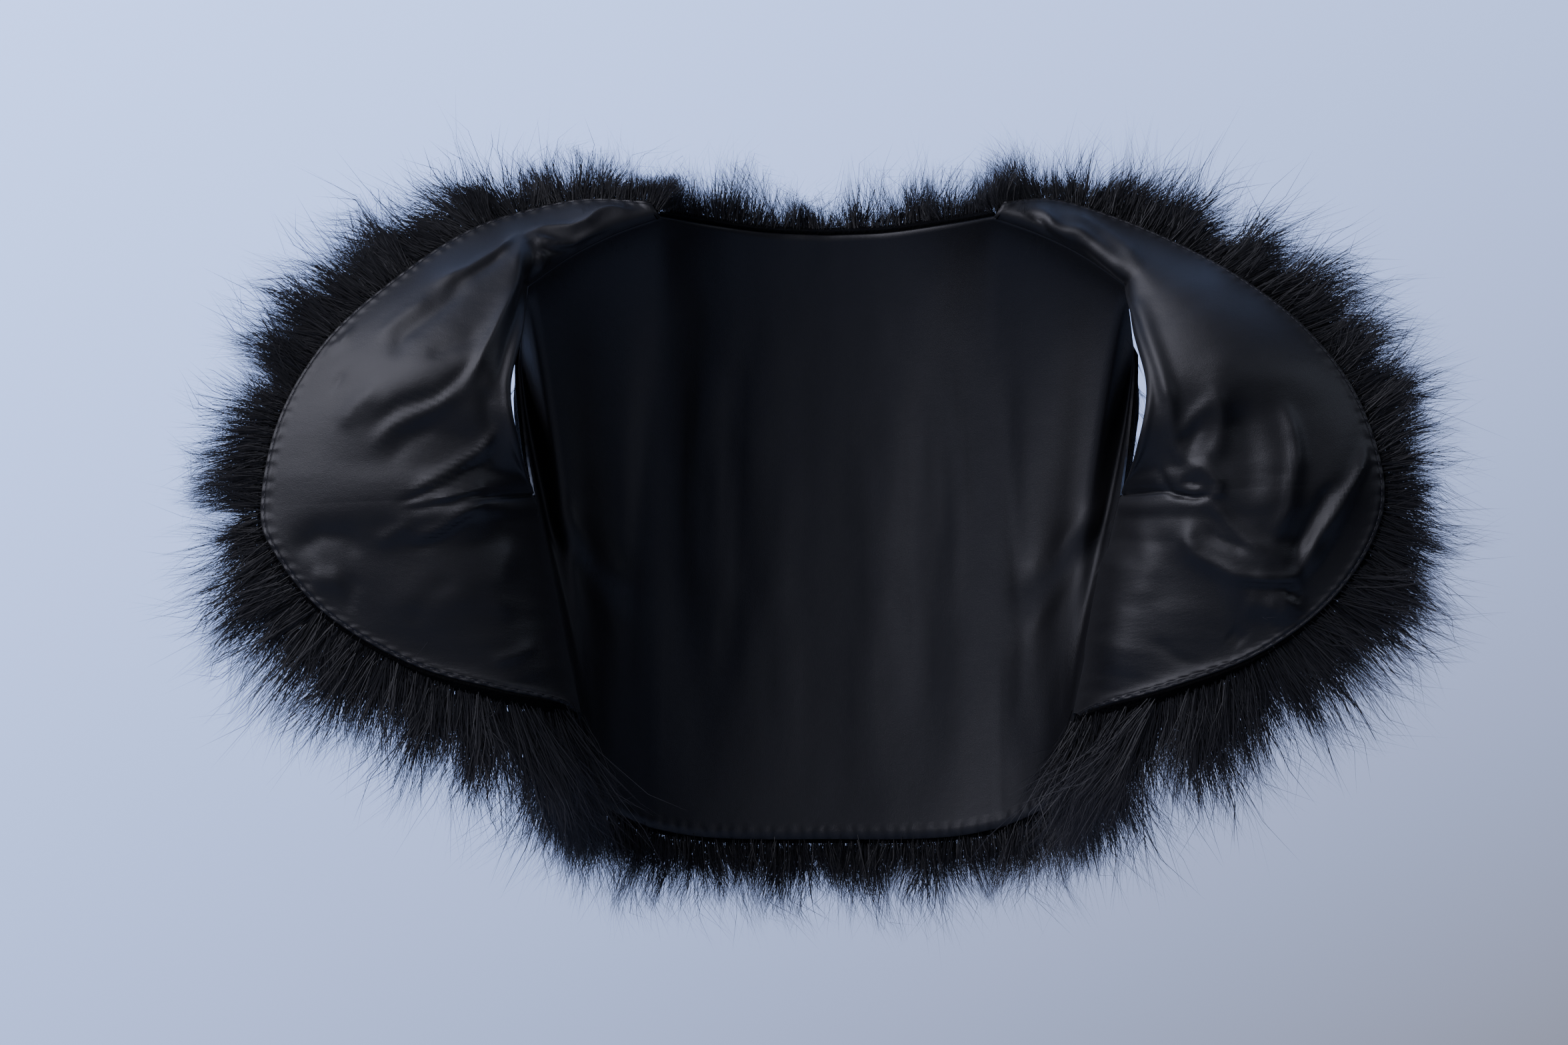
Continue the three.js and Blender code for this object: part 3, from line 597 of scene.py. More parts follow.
# Sizes of the fronts' finish, in millimetres: the satin, how far in the stitching lies, the rolled free
# edge and the turned armhole edge, and how high the dart's lips stand and how deep its seam lies.
SATIN_WALL, STITCH_IN = 1.2, 2.3
EDGE_ROLL, EDGE_DROP = 1.4, 0.9
STITCH_SINK, STITCH_SINK_WIDE = 0.45, 0.55
PUFF_IN, PUFF_WIDE, PUFF_HIGH = 4.2, 1.5, 0.35
HOLE_ROLL, HOLE_DROP, HOLE_PUFF_IN, HOLE_PUFF_HIGH = 2.2, 1.0, 3, 0.8
DART_LIP, DART_SEAM = 1.6, 1.2
# How far across the front the dart's lips and its seam run, and how many rows each lip and the seam take
# up.
DART_LIP_REACH, DART_SEAM_REACH, DART_LIP_ROWS, DART_SEAM_ROWS = 0.42, 0.26, 0.25, 0.03


def put_in_place(node, slot, *pieces):
    """Lets finished pieces stand for one solid."""
    for piece in pieces:
        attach(piece, "root")
        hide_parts(node)


def rolled(distance, radius):
    """How far round a rolled edge the cloth has gone, from 1 at the edge to 0 at its radius."""
    return 1 - np.sqrt(np.clip(1 - (1 - np.clip(distance / radius, 0, 1)) ** 2, 0, 1))


def walked(places, axis):
    """The distance walked along each line of places."""
    return np.cumsum(np.linalg.norm(np.diff(places, axis=axis), axis=-1), axis=axis)


def lining_front(front):
    """Makes a front's lining and returns the line for its stitches."""
    # close samples at the rolled edges and along the dart
    even = np.linspace(0, 1, COLUMNS_OF_SATIN)
    acrosses = even - EDGES_CLOSER * np.sin(2 * np.pi * even) / (2 * np.pi)
    dart = UNDERARM + np.array([-0.16, -0.09, -0.045, -0.02, 0, 0.02, 0.045, 0.09, 0.16])
    rows = np.unique(np.concatenate([np.linspace(0, LAST_ROW, ROWS_OF_SATIN), dart]))
    row, across, place, out = front_grid(front, rows, acrosses)

    from_edge = walked(place[:, ::-1], 1)[:, ::-1]
    from_edge = np.concatenate([from_edge, np.zeros((len(rows), 1))], 1)
    from_seam = from_edge[:, :1] - from_edge
    along = np.concatenate([[0], walked(place[:, -1], 0)])

    # folds and creases, which end before the sewn and rolled edges
    calm = np.minimum(1, 3 * (1 - across)) * np.clip(np.minimum(row, LAST_ROW - row), 0, 1)
    free = (row > SHOULDER_TIP) & (row < UNDERARM)
    lifted = smoothstep(from_seam, 0, np.where(free, 3.5, 9)) * smoothstep(from_edge, 1.5, 9)
    fold = ridges(place, front, FRONT_FOLDS[front.name]) * calm * smoothstep(from_seam, 0, 14)
    fold += creases(place, FRONT_CREASES[front.name]) * lifted

    # the dart, a seam between two lips
    lips = np.minimum(2, np.abs(row - UNDERARM) / DART_LIP_ROWS)
    pinch = np.clip(1 - across / DART_LIP_REACH, 0, 1) * smoothstep(from_seam, 0, 6)
    fold += DART_LIP * pinch * 0.5 * (1 - np.cos(np.pi * lips))
    seam_line = np.clip(1 - across / DART_SEAM_REACH, 0, 1) ** 0.5
    fold -= DART_SEAM * seam_line * np.exp(-(((row - UNDERARM) / DART_SEAM_ROWS) ** 2))

    # the rolled free edge with its sunk stitching, and the turned edge of the armhole
    fold -= EDGE_DROP * rolled(from_edge, EDGE_ROLL)
    fold -= STITCH_SINK * np.exp(-(((from_edge - STITCH_IN) / STITCH_SINK_WIDE) ** 2))
    fold += PUFF_HIGH * np.exp(-(((from_edge - PUFF_IN) / PUFF_WIDE) ** 2))
    hole_puff = HOLE_PUFF_HIGH * np.exp(-(((from_seam - HOLE_PUFF_IN) / 2) ** 2))
    fold += np.where(free, hole_puff - HOLE_DROP * rolled(from_seam, HOLE_ROLL), 0)

    shown = place - out * fold[..., None]
    uv = np.stack([from_edge, np.broadcast_to(along[:, None], from_edge.shape)], -1)
    lining = wall(f"lining_front_{front.name}_satin", shown, shown + out * SATIN_WALL, satin, uv)
    put_in_place(f"lining_front_{front.name}", "satin", lining)

    stitch_share = [np.interp(-STITCH_IN, -line, acrosses) for line in from_edge]
    column = np.array([np.interp(share, acrosses, np.arange(len(acrosses))) for share in stitch_share])
    low = np.floor(column).astype(int)
    part = (column - low)[:, None]
    i = np.arange(len(rows))
    return shown[i, low] * (1 - part) + shown[i, low + 1] * part - out[i, low] * 0.12


stitch_lines = {front.name: lining_front(front) for front in (right, left)}


def lining_back():
    """Makes the back's lining, which hangs in a few long shallow folds."""
    columns = np.linspace(-SIDE_COLUMN, SIDE_COLUMN, 97)
    ups = np.linspace(0, 1, 61)
    column, up, place, out = back_grid(columns, ups)
    calm = np.sin(np.pi * up) * smoothstep(SIDE_COLUMN - np.abs(column), 0, 1)
    fold = ridges(place, back, BACK_FOLDS) * calm + creases(place, BACK_CREASES) * calm
    from_hem = np.concatenate([np.zeros((len(columns), 1)), walked(place, 1)], 1)
    across = np.concatenate([[0], walked(place[:, 0], 0)])
    uv = np.stack([from_hem, np.broadcast_to(across[:, None], from_hem.shape)], -1)
    shown = place - out * fold[..., None]
    lining = wall("lining_back_satin", shown, shown + out * SATIN_WALL, satin, uv)
    put_in_place("lining_back", "satin", lining)


lining_back()


# The topstitching: one row of black thread 2.3 mm inside each front's free edge, 3.1 mm from stitch to
# stitch. It holds the rolled edge flat, and each stitch is a short piece of thread that dips into the
# satin at both ends.
STITCH_PITCH = 3.1
# The twist of the thread's plies, in millimetres.
PLY_SIZE = 0.4


def sewing_thread():
    """Spun polyester thread: its plies scatter light, so it is a touch lighter than the satin."""
    material, tree, shader = new_material("sewing_thread")
    where = add_node(tree, "ShaderNodeTexCoord").outputs["Object"]
    ply = add_node(tree, "ShaderNodeTexNoise", {"Vector": where, "Scale": repeats(PLY_SIZE)})
    ramp = add_node(tree, "ShaderNodeValToRGB", {"Fac": ply.outputs["Fac"]})
    ramp.color_ramp.elements[0].color = rgb("#26262b")
    ramp.color_ramp.elements[1].color = rgb("#46464e")
    tree.links.new(ramp.outputs["Color"], shader.inputs["Base Color"])
    shader.inputs["Roughness"].default_value = 0.45
    return material


thread = sewing_thread()


def new_tree(name, sockets):
    """An empty node tree with named inputs, each (name, socket kind)."""
    tree = bpy.data.node_groups.new(name, "GeometryNodeTree")
    tree.interface.new_socket("Geometry", in_out="INPUT", socket_type="NodeSocketGeometry")
    tree.interface.new_socket("Geometry", in_out="OUTPUT", socket_type="NodeSocketGeometry")
    for label, kind in sockets:
        tree.interface.new_socket(label, in_out="INPUT", socket_type="NodeSocket" + kind)
    return tree, tree.nodes.new("NodeGroupInput").outputs, tree.nodes.new("NodeGroupOutput").inputs


def grow(base, tree, **values):
    """Runs a tree on an object, turns the result into a plain mesh and removes the modifier."""
    modifier = base.modifiers.new(tree.name, "NODES")
    modifier.node_group = tree
    for socket in tree.interface.items_tree:
        key = socket.name.lower().replace(" ", "_")
        if socket.in_out == "INPUT" and key in values:
            modifier[socket.identifier] = values[key]
    bpy.context.view_layer.update()
    evaluated = base.evaluated_get(bpy.context.evaluated_depsgraph_get())
    mesh = bpy.data.meshes.new_from_object(evaluated)
    base.modifiers.remove(modifier)
    base.data = mesh
    for attribute in [a.name for a in mesh.attributes if a.name in ("lay", "long", "root")]:
        mesh.attributes.remove(mesh.attributes[attribute])
    return base


def stitch_tree():
    """Lays one short thread after another along a line."""
    tree, given, result = new_tree(
        "stitches", [("Pitch", "Float"), ("Thread", "Object"), ("Material", "Material")]
    )
    line = add_node(tree, "GeometryNodeMeshToCurve", {"Mesh": given["Geometry"]})
    spaced = {"Curve": line.outputs[0], "Length": given["Pitch"]}
    even = add_node(tree, "GeometryNodeResampleCurve", spaced, mode="LENGTH")
    tangent = add_node(tree, "GeometryNodeInputTangent")
    turned = add_node(tree, "FunctionNodeAlignRotationToVector", {"Vector": tangent.outputs[0]}, axis="X")
    one = add_node(tree, "GeometryNodeObjectInfo", {"Object": given["Thread"]})
    placed = add_node(
        tree,
        "GeometryNodeInstanceOnPoints",
        {"Points": even.outputs[0], "Instance": one.outputs["Geometry"], "Rotation": turned.outputs[0]},
    )
    real = add_node(tree, "GeometryNodeRealizeInstances", {"Geometry": placed.outputs[0]})
    dyed = add_node(
        tree, "GeometryNodeSetMaterial", {"Geometry": real.outputs[0], "Material": given["Material"]}
    )
    tree.links.new(dyed.outputs[0], result[0])
    return tree


stitches_tree = stitch_tree()


def thread_piece():
    """One stitch: a short five-sided thread whose ends dip into the cloth."""
    end, middle = (1.35, 0.08, -0.25), (0.7, 0.22, 0.06)
    stations = [(-end[0], *end[1:]), (-middle[0], *middle[1:]), middle, end]
    turns = np.arange(5) * 2 * math.pi / 5
    points = np.array([(x, r * math.cos(a), r * math.sin(a) + z) for x, r, z in stations for a in turns])
    faces = []
    for first in (0, 5, 10):
        for n, after in zip((0, 1, 2, 3, 4), (1, 2, 3, 4, 0)):
            faces.append((first + n, first + after, first + 5 + after, first + 5 + n))
    faces += [(4, 3, 2, 1, 0), (15, 16, 17, 18, 19)]
    made = finish_mesh("one_stitch", points, faces, thread)
    bpy.context.scene.collection.objects.unlink(made)
    return made


one_stitch = thread_piece()


def stitch(name, line):
    """Sews one line of topstitching."""
    mesh = bpy.data.meshes.new(name)
    mesh.from_pydata(line * 0.001, [(k, k + 1) for k in range(len(line) - 1)], [])
    made = bpy.data.objects.new(name, mesh)
    bpy.context.scene.collection.objects.link(made)
    grow(made, stitches_tree, pitch=STITCH_PITCH / 1000, thread=one_stitch, material=thread)
    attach(made, "root")


for name, line in stitch_lines.items():
    stitch(f"topstitching_{name}", line[3:-3])


# The marabou outers: a dyed cotton ground behind each lining, with marabou plumes sewn on in tiers that
# lie over each other. The pile is deepest in the middle of a panel and thin at its seams.
def marabou_down():
    """Dyed marabou: matte black down, with a painted highlight that lightens each barb towards its thin tip,
    for the light that shines through and catches the thin tips.
    """
    material, tree, shader = new_material("marabou_down")
    barb = add_node(tree, "ShaderNodeUVMap", uv_map="barb")
    along = add_node(tree, "ShaderNodeSeparateXYZ", {"Vector": barb.outputs["UV"]})
    # painted highlight: each barb's colour goes from black at the root to grey at its thin tip
    ramp = add_node(tree, "ShaderNodeValToRGB", {"Fac": along.outputs["Y"]})
    ramp.color_ramp.elements[0].color = rgb("#070708")
    ramp.color_ramp.elements[1].color = rgb("#303036")
    tree.links.new(ramp.outputs["Color"], shader.inputs["Base Color"])
    shader.inputs["Roughness"].default_value = 0.5
    shader.inputs["Specular IOR Level"].default_value = 0.45
    shader.inputs["Sheen Weight"].default_value = 0.1
    return material


marabou = marabou_down()


# The tangle of broken barbs in matted down, in millimetres.
FLUFF_SIZE = 2


def matted_underdown():
    """Dyed cotton with down matted into it: dull and almost black, and seen only between plumes."""
    material, tree, shader = new_material("matted_underdown")
    where = add_node(tree, "ShaderNodeTexCoord").outputs["Object"]
    fluff = add_node(
        tree, "ShaderNodeTexNoise", {"Vector": where, "Scale": repeats(FLUFF_SIZE), "Detail": 5.0}
    )
    ramp = add_node(tree, "ShaderNodeValToRGB", {"Fac": fluff.outputs["Fac"]})
    ramp.color_ramp.elements[0].color = rgb("#030304")
    ramp.color_ramp.elements[1].color = rgb("#0d0d0f")
    relief = {"Height": fluff.outputs["Fac"], "Distance": 0.002, "Strength": 1.0}
    bump = add_node(tree, "ShaderNodeBump", relief)
    tree.links.new(ramp.outputs["Color"], shader.inputs["Base Color"])
    tree.links.new(bump.outputs["Normal"], shader.inputs["Normal"])
    shader.inputs["Roughness"].default_value = 0.95
    shader.inputs["Specular IOR Level"].default_value = 0.1
    return material


underdown = matted_underdown()


# Of plumes: how many kinds there are, the spread of their lengths, and their barbs' waves to a metre.
PLUME_KINDS = 8
SHORTEST, LONGEST = 0.65, 1.06
WAVES_PER_METRE = 90.0


def plume_tree():
    """Scatters plumes over a surface along its lay, then curls, clumps and sags them."""
    tree, given, result = new_tree(
        "plumes",
        [
            ("Plumes", "Collection"),
            ("Density", "Float"),
            ("Length", "Float"),
            ("Splay", "Vector"),
            ("Clump Size", "Float"),
            ("Clump", "Vector"),
            ("Wave", "Vector"),
            ("Flatten", "Vector"),
            ("Sag", "Float"),
            ("Seed", "Int"),
            ("Material", "Material"),
        ],
    )
    points = add_node(
        tree,
        "GeometryNodeDistributePointsOnFaces",
        {"Mesh": given["Geometry"], "Density": given["Density"], "Seed": given["Seed"]},
    )
    lay = add_node(tree, "GeometryNodeInputNamedAttribute", {"Name": "lay"}, data_type="FLOAT_VECTOR")
    long = add_node(tree, "GeometryNodeInputNamedAttribute", {"Name": "long"}, data_type="FLOAT")
    stray = add_node(
        tree,
        "FunctionNodeRandomValue",
        {0: (-1, -1, -1), 1: (1, 1, 1), "Seed": given["Seed"]},
        data_type="FLOAT_VECTOR",
    )
    way = add_node(
        tree,
        "ShaderNodeVectorMath",
        {0: stray.outputs[0], 1: given["Splay"], 2: lay.outputs["Attribute"]},
        operation="MULTIPLY_ADD",
    )
    stand = add_node(tree, "FunctionNodeAlignRotationToVector", {"Vector": way.outputs[0]}, axis="Z")
    turn = add_node(
        tree, "FunctionNodeRandomValue", {2: 0.0, 3: 2 * math.pi, "Seed": given["Seed"]}, data_type="FLOAT"
    )
    spin = add_node(tree, "FunctionNodeAxisAngleToRotation", {"Axis": (0, 0, 1), "Angle": turn.outputs[1]})
    rotation = add_node(
        tree,
        "FunctionNodeRotateRotation",
        {"Rotation": stand.outputs[0], "Rotate By": spin.outputs[0]},
        rotation_space="LOCAL",
    )
    kinds = add_node(
        tree,
        "GeometryNodeCollectionInfo",
        {"Collection": given["Plumes"], "Separate Children": True, "Reset Children": True},
    )
    kind = add_node(
        tree, "FunctionNodeRandomValue", {4: 0, 5: PLUME_KINDS - 1, "Seed": given["Seed"]}, data_type="INT"
    )
    vary = add_node(
        tree, "FunctionNodeRandomValue", {2: SHORTEST, 3: LONGEST, "Seed": given["Seed"]}, data_type="FLOAT"
    )
    length = add_node(
        tree, "ShaderNodeMath", {0: given["Length"], 1: long.outputs["Attribute"]}, operation="MULTIPLY"
    )
    scale = add_node(
        tree, "ShaderNodeMath", {0: length.outputs[0], 1: vary.outputs[1]}, operation="MULTIPLY"
    )
    place = add_node(tree, "GeometryNodeInputPosition").outputs[0]
    rooted = add_node(
        tree,
        "GeometryNodeStoreNamedAttribute",
        {"Geometry": points.outputs["Points"], "Name": "root", "Value": place},
        data_type="FLOAT_VECTOR",
        domain="POINT",
    )
    placed = add_node(
        tree,
        "GeometryNodeInstanceOnPoints",
        {
            "Points": rooted.outputs[0],
            "Instance": kinds.outputs[0],
            "Pick Instance": True,
            "Instance Index": kind.outputs[2],
            "Rotation": rotation.outputs[0],
            "Scale": scale.outputs[0],
        },
    )
    real = add_node(tree, "GeometryNodeRealizeInstances", {"Geometry": placed.outputs[0]})

    barb = add_node(tree, "GeometryNodeInputNamedAttribute", {"Name": "barb"}, data_type="FLOAT_VECTOR")
    along = add_node(tree, "ShaderNodeSeparateXYZ", {0: barb.outputs["Attribute"]}).outputs["Y"]
    squared = add_node(tree, "ShaderNodeMath", {0: along, 1: along}, operation="MULTIPLY").outputs[0]
    moves = []
    per_clump = add_node(tree, "ShaderNodeMath", {0: 1.0, 1: given["Clump Size"]}, operation="DIVIDE")
    for fine, amount in ((per_clump.outputs[0], "Clump"), (WAVES_PER_METRE, "Wave")):
        noise = add_node(tree, "ShaderNodeTexNoise", {"Scale": fine, "Detail": 0.0})
        centred = add_node(
            tree,
            "ShaderNodeVectorMath",
            {0: noise.outputs["Color"], 1: (0.5, 0.5, 0.5)},
            operation="SUBTRACT",
        )
        far = add_node(tree, "ShaderNodeVectorMath", {0: given[amount], "Scale": squared}, operation="SCALE")
        moved = add_node(
            tree, "ShaderNodeVectorMath", {0: centred.outputs[0], 1: far.outputs[0]}, operation="MULTIPLY"
        )
        moves.append(moved.outputs[0])
    sag = add_node(tree, "ShaderNodeMath", {0: squared, 1: given["Sag"]}, operation="MULTIPLY")
    down = add_node(
        tree, "ShaderNodeVectorMath", {0: (0, 0, -1), "Scale": sag.outputs[0]}, operation="SCALE"
    )
    curled = add_node(tree, "ShaderNodeVectorMath", {0: moves[0], 1: moves[1]}, operation="ADD").outputs[0]
    whole = add_node(tree, "ShaderNodeVectorMath", {0: curled, 1: down.outputs[0]}, operation="ADD")
    root = add_node(tree, "GeometryNodeInputNamedAttribute", {"Name": "root"}, data_type="FLOAT_VECTOR")
    grown = add_node(
        tree, "ShaderNodeVectorMath", {0: place, 1: root.outputs["Attribute"]}, operation="SUBTRACT"
    )
    pressed = add_node(
        tree,
        "ShaderNodeVectorMath",
        {0: grown.outputs[0], 1: given["Flatten"], 2: whole.outputs[0]},
        operation="MULTIPLY_ADD",
    )
    shaped = add_node(
        tree, "GeometryNodeSetPosition", {"Geometry": real.outputs[0], "Offset": pressed.outputs[0]}
    )
    dyed = add_node(
        tree, "GeometryNodeSetMaterial", {"Geometry": shaped.outputs[0], "Material": given["Material"]}
    )
    tree.links.new(dyed.outputs[0], result[0])
    return tree


plumes_tree = plume_tree()

# A plume's barbs, and the width of one as a share of the plume's length. A real barb is a few hundredths
# of a millimetre wide, too fine to show, so each of these stands for a few that cling together.
BARBS, BARB_WIDTH = 15, 0.0078


def plume(seed):
    """One marabou plume, one unit long: limp barbs around a short, bent quill."""
    rng = np.random.default_rng(seed)
    stations, thinning = np.array([0, 0.36, 0.7, 1.0]), (1, 0.75, 0.36)
    bend = rng.uniform(0.08, 0.32)
    points, faces, uv = [], [], []
    for _ in range(BARBS):
        start = rng.uniform(0, 0.25)
        length = 0.39 + 0.7 * rng.uniform() ** 1.5 - start
        turn, lean, curl = rng.uniform(0, 2 * math.pi), rng.uniform(0.0, 0.22), rng.uniform(-0.25, 0.38)
        radial = np.array([math.cos(turn), math.sin(turn), 0])
        root = radial * rng.uniform(0.0, 0.05)
        face = turn + math.pi / 2 + rng.uniform(-0.9, 0.9)
        flat = np.array([math.cos(face), math.sin(face), 0]) * BARB_WIDTH / 2
        heights = start + length * stations
        path = [
            root + radial * length * (lean * s + curl * s * s) + np.array([bend * height**2, 0, height])
            for s, height in zip(stations, heights)
        ]
        first = len(points)
        for place, thin in zip(path, thinning):
            points += [place - flat * thin, place + flat * thin]
        points.append(path[3])
        for k in (0, 1):
            low = first + 2 * k
            faces.append((low, low + 1, low + 3, low + 2))
            uv += [(0, heights[k]), (1, heights[k]), (1, heights[k + 1]), (0, heights[k + 1])]
        faces.append((first + 4, first + 5, first + 6))
        uv += [(0, heights[2]), (1, heights[2]), (0.5, heights[3])]
    made = finish_mesh(f"plume_{seed}", np.array(points) * 1000, faces, marabou)
    made.data.uv_layers.new(name="barb").data.foreach_set("uv", np.array(uv, "f").ravel())
    return made


plume_kinds = bpy.data.collections.new("plume_kinds")
for seed in range(PLUME_KINDS):
    kind = plume(seed)
    bpy.context.scene.collection.objects.unlink(kind)
    plume_kinds.objects.link(kind)


# How far plumes may pass the solids: a few millimetres, and a share of each side.
PAST_BY, PAST_SHARE = 6, 0.03


def reach(place, lay):
    """How far a plume may go along lay and stay by the cut."""
    low, high = np.array(cad_box) * 1000
    margin = PAST_BY + PAST_SHARE * (high - low)
    ahead = np.where(lay > 0, high + margin - place, place - low + margin)
    return np.min(ahead / np.maximum(np.abs(lay), 0.15), -1)


# A plume's length in millimetres for one of the tree's metres, with its longest barbs and its curls
# counted in.
FULL_PLUME = 1660


def fledge(name, place, lay, long, count, **values):
    """Covers an open grid of roots with plumes that stand along lay."""
    rows, columns = place.shape[:2]
    long = np.minimum(long, reach(place, lay) / (FULL_PLUME * values["length"]))
    base = finish_mesh(name, place.reshape(-1, 3), grid_faces(rows, columns).tolist(), marabou)
    given = ("lay", "FLOAT_VECTOR", "vector", lay), ("long", "FLOAT", "value", long)
    for label, kind, key, values_at in given:
        layer = base.data.attributes.new(label, kind, "POINT")
        layer.data.foreach_set(key, values_at.astype("f").ravel())
    area = sum(face.area for face in base.data.polygons)
    grow(base, plumes_tree, plumes=plume_kinds, density=count / area, material=marabou, **values)
    return base


# How deep the pile is on the back, on a front, at a seam and at a free edge, and the gap between satin and
# ground.
PILE_BACK, PILE_FRONT, PILE_SEAM, PILE_RIM = 27, 20, 3, 8
LINING_GAP = 0.3
# How many tiers of plumes there are, how far the ground stands off its lining in mid-panel, and how thick
# it is at the least.
TIERS_FRONT, TIERS_BACK = 5, 7
HOLLOW_FRONT, HOLLOW_BACK, LEAST_GROUND = 4.8, 3, 0.8


def outer_front(front):
    """Makes a front's outer: its matted ground, and plumes that lie away from the seams and downwards."""
    rows, acrosses = np.linspace(0, LAST_ROW, 79), np.linspace(0, 1, 31)
    row, across, place, out = front_grid(front, rows, acrosses)
    ends = smoothstep(np.minimum(row, LAST_ROW - row), 0, 3.5)
    swell = np.sin(np.pi * across) ** 0.8 * ends
    rim = PILE_RIM * (0.4 + 0.6 * ends)
    base = PILE_SEAM + (rim - PILE_SEAM) * across
    depth = base + (PILE_FRONT - base) * swell * (0.8 + 0.2 * np.sin(across * (2 * TIERS_FRONT) * np.pi))
    inside = smoothstep(np.minimum(across, 1.04 - across), 0, 0.14)
    hollow = HOLLOW_FRONT * inside * smoothstep(ends, 0, 0.6)
    ground = place + out * (SATIN_WALL + LINING_GAP)
    body = wall(
        f"marabou_front_{front.name}_ground",
        ground + out * hollow[..., None],
        ground + out * np.maximum(depth * 0.5, hollow + LEAST_GROUND)[..., None],
        underdown,
    )
    ahead, behind = np.minimum(1, across + 0.05), np.maximum(0, across - 0.05)
    away = unit(front.place(row, ahead) - front.place(row, behind))
    lay = unit(out * (0.75 - 0.3 * across)[..., None] + away * 0.5 + np.array([0, 0, -0.35]))
    long = 0.35 + 0.65 * depth / PILE_FRONT
    plumes = fledge(
        f"marabou_front_{front.name}_plumes",
        ground + out * (depth * 0.3)[..., None],
        lay,
        long,
        count=720,
        length=0.042,
        splay=(0.5, 0.5, 0.5),
        clump_size=0.026,
        clump=(0.04, 0.03, 0.04),
        wave=(0.014, 0.012, 0.014),
        sag=0.006,
        seed=11,
    )
    put_in_place(f"marabou_front_{front.name}", "marabou", body, plumes)


for front in (right, left):
    outer_front(front)


def outer_back():
    """Makes the back's outer: its matted ground, and plumes that lie downwards in tiers."""
    columns, ups = np.linspace(-SIDE_COLUMN, SIDE_COLUMN, 91), np.linspace(0, 1, 57)
    column, up, place, out = back_grid(columns, ups)
    c = np.abs(column)
    sideways = smoothstep(c / SIDE_COLUMN, 0.55, 1)
    shoulder = np.where(c > NECK_POINT - 0.5, smoothstep(up, 0.75, 1), 0)
    towards_seam = np.maximum(sideways, shoulder)
    base = PILE_RIM + (PILE_SEAM - PILE_RIM) * towards_seam
    swell = np.sin(np.pi * up) ** 0.7 * (1 - towards_seam)
    depth = base + (PILE_BACK - base) * swell * (0.8 + 0.2 * np.sin(up * (2 * TIERS_BACK) * np.pi))
    hollow = HOLLOW_BACK * smoothstep(np.minimum(up, 1 - up), 0, 0.12) * smoothstep(SIDE_COLUMN - c, 0, 1)
    ground = place + out * (SATIN_WALL + LINING_GAP)
    body = wall(
        "marabou_back_ground",
        ground + out * hollow[..., None],
        ground + out * np.maximum(depth * 0.5, hollow + LEAST_GROUND)[..., None],
        underdown,
    )
    lower, higher = np.maximum(0, up - 0.04), np.minimum(1, up + 0.04)
    below = unit(back.place(column, lower) - back.place(column, higher))
    lay = unit(out * 0.55 + below * 0.85)
    long = 0.3 + 0.7 * depth / PILE_BACK
    plumes = fledge(
        "marabou_back_plumes",
        ground + out * (depth * 0.3)[..., None],
        lay,
        long,
        count=1600,
        length=0.046,
        splay=(0.45, 0.25, 0.45),
        clump_size=0.026,
        clump=(0.05, 0.02, 0.045),
        wave=(0.014, 0.01, 0.014),
        flatten=(0, -0.3, 0),
        sag=0.006,
        seed=5,
    )
    put_in_place("marabou_back", "marabou", body, plumes)


outer_back()


# The marabou edging: a tape with one close row of the longest plumes, sewn on behind each free edge. Each
# front has one length from the neck to the side seam, and the hem and the neck of the back have one each.

# Sizes in millimetres: how far behind the edge's cloth the tape lies, its width, how far in it starts, how
# thick the matted down on it is, and how far in from the edge the plumes are rooted.
TAPE_BEHIND, TAPE_WIDE, TAPE_IN, TAPE_THICK, ROOTS_IN = 1.5, 6, 4.2, 5, 2.5


def edging(name, place, out, away, stand, long, count, **values):
    """A tape of matted down behind an edge, and its plumes. stand is the way they go, long their length."""
    around = np.linspace(0, 1, 5)[None, :, None]
    taper = np.minimum(1, np.linspace(0, 8, len(place)))
    taper = np.minimum(taper, taper[::-1])[:, None, None]
    inner = place[:, None] + out[:, None] * TAPE_BEHIND + away[:, None] * (TAPE_WIDE * around - TAPE_IN)
    padded = TAPE_THICK + 2 * np.sin(np.pi * around)
    outer = inner + out[:, None] * (1 + padded * taper)
    tape = wall(name + "_tape", inner, outer, underdown)
    roots = place[:, None] + out[:, None] * (TAPE_BEHIND + 6.5 * around) - away[:, None] * ROOTS_IN
    lay = unit(stand[:, None] + out[:, None] * (0.3 * around - 0.1))
    plumes = fledge(name + "_plumes", roots, lay, np.repeat(long[:, None], 5, 1), count, **values)
    put_in_place(name, "marabou", tape, plumes)


def edge_frame(surface, a, b, inside):
    """Along a free edge: its places, the way out of the pile, the way off the edge and the way along it."""
    place, out = surface.place(a, b), surface.out(a, b)
    low, high = surface.ranges[0]
    ahead, behind = np.minimum(a + 0.05, high), np.maximum(a - 0.05, low)
    tangent = unit(surface.place(ahead, b) - surface.place(behind, b))
    away = unit(np.cross(tangent, out))
    away *= np.sign(np.sum(away * (place - surface.place(a, inside)), -1, keepdims=True))
    return place, out, away, tangent


def tufted(at, spread, seed, knots=70):
    """A value that wanders about 0 along an edge, as neighbouring plumes gather in tufts."""
    values = np.random.default_rng(seed).uniform(-spread, spread, knots)
    return np.interp(at, np.linspace(at.min(), at.max(), knots), values)


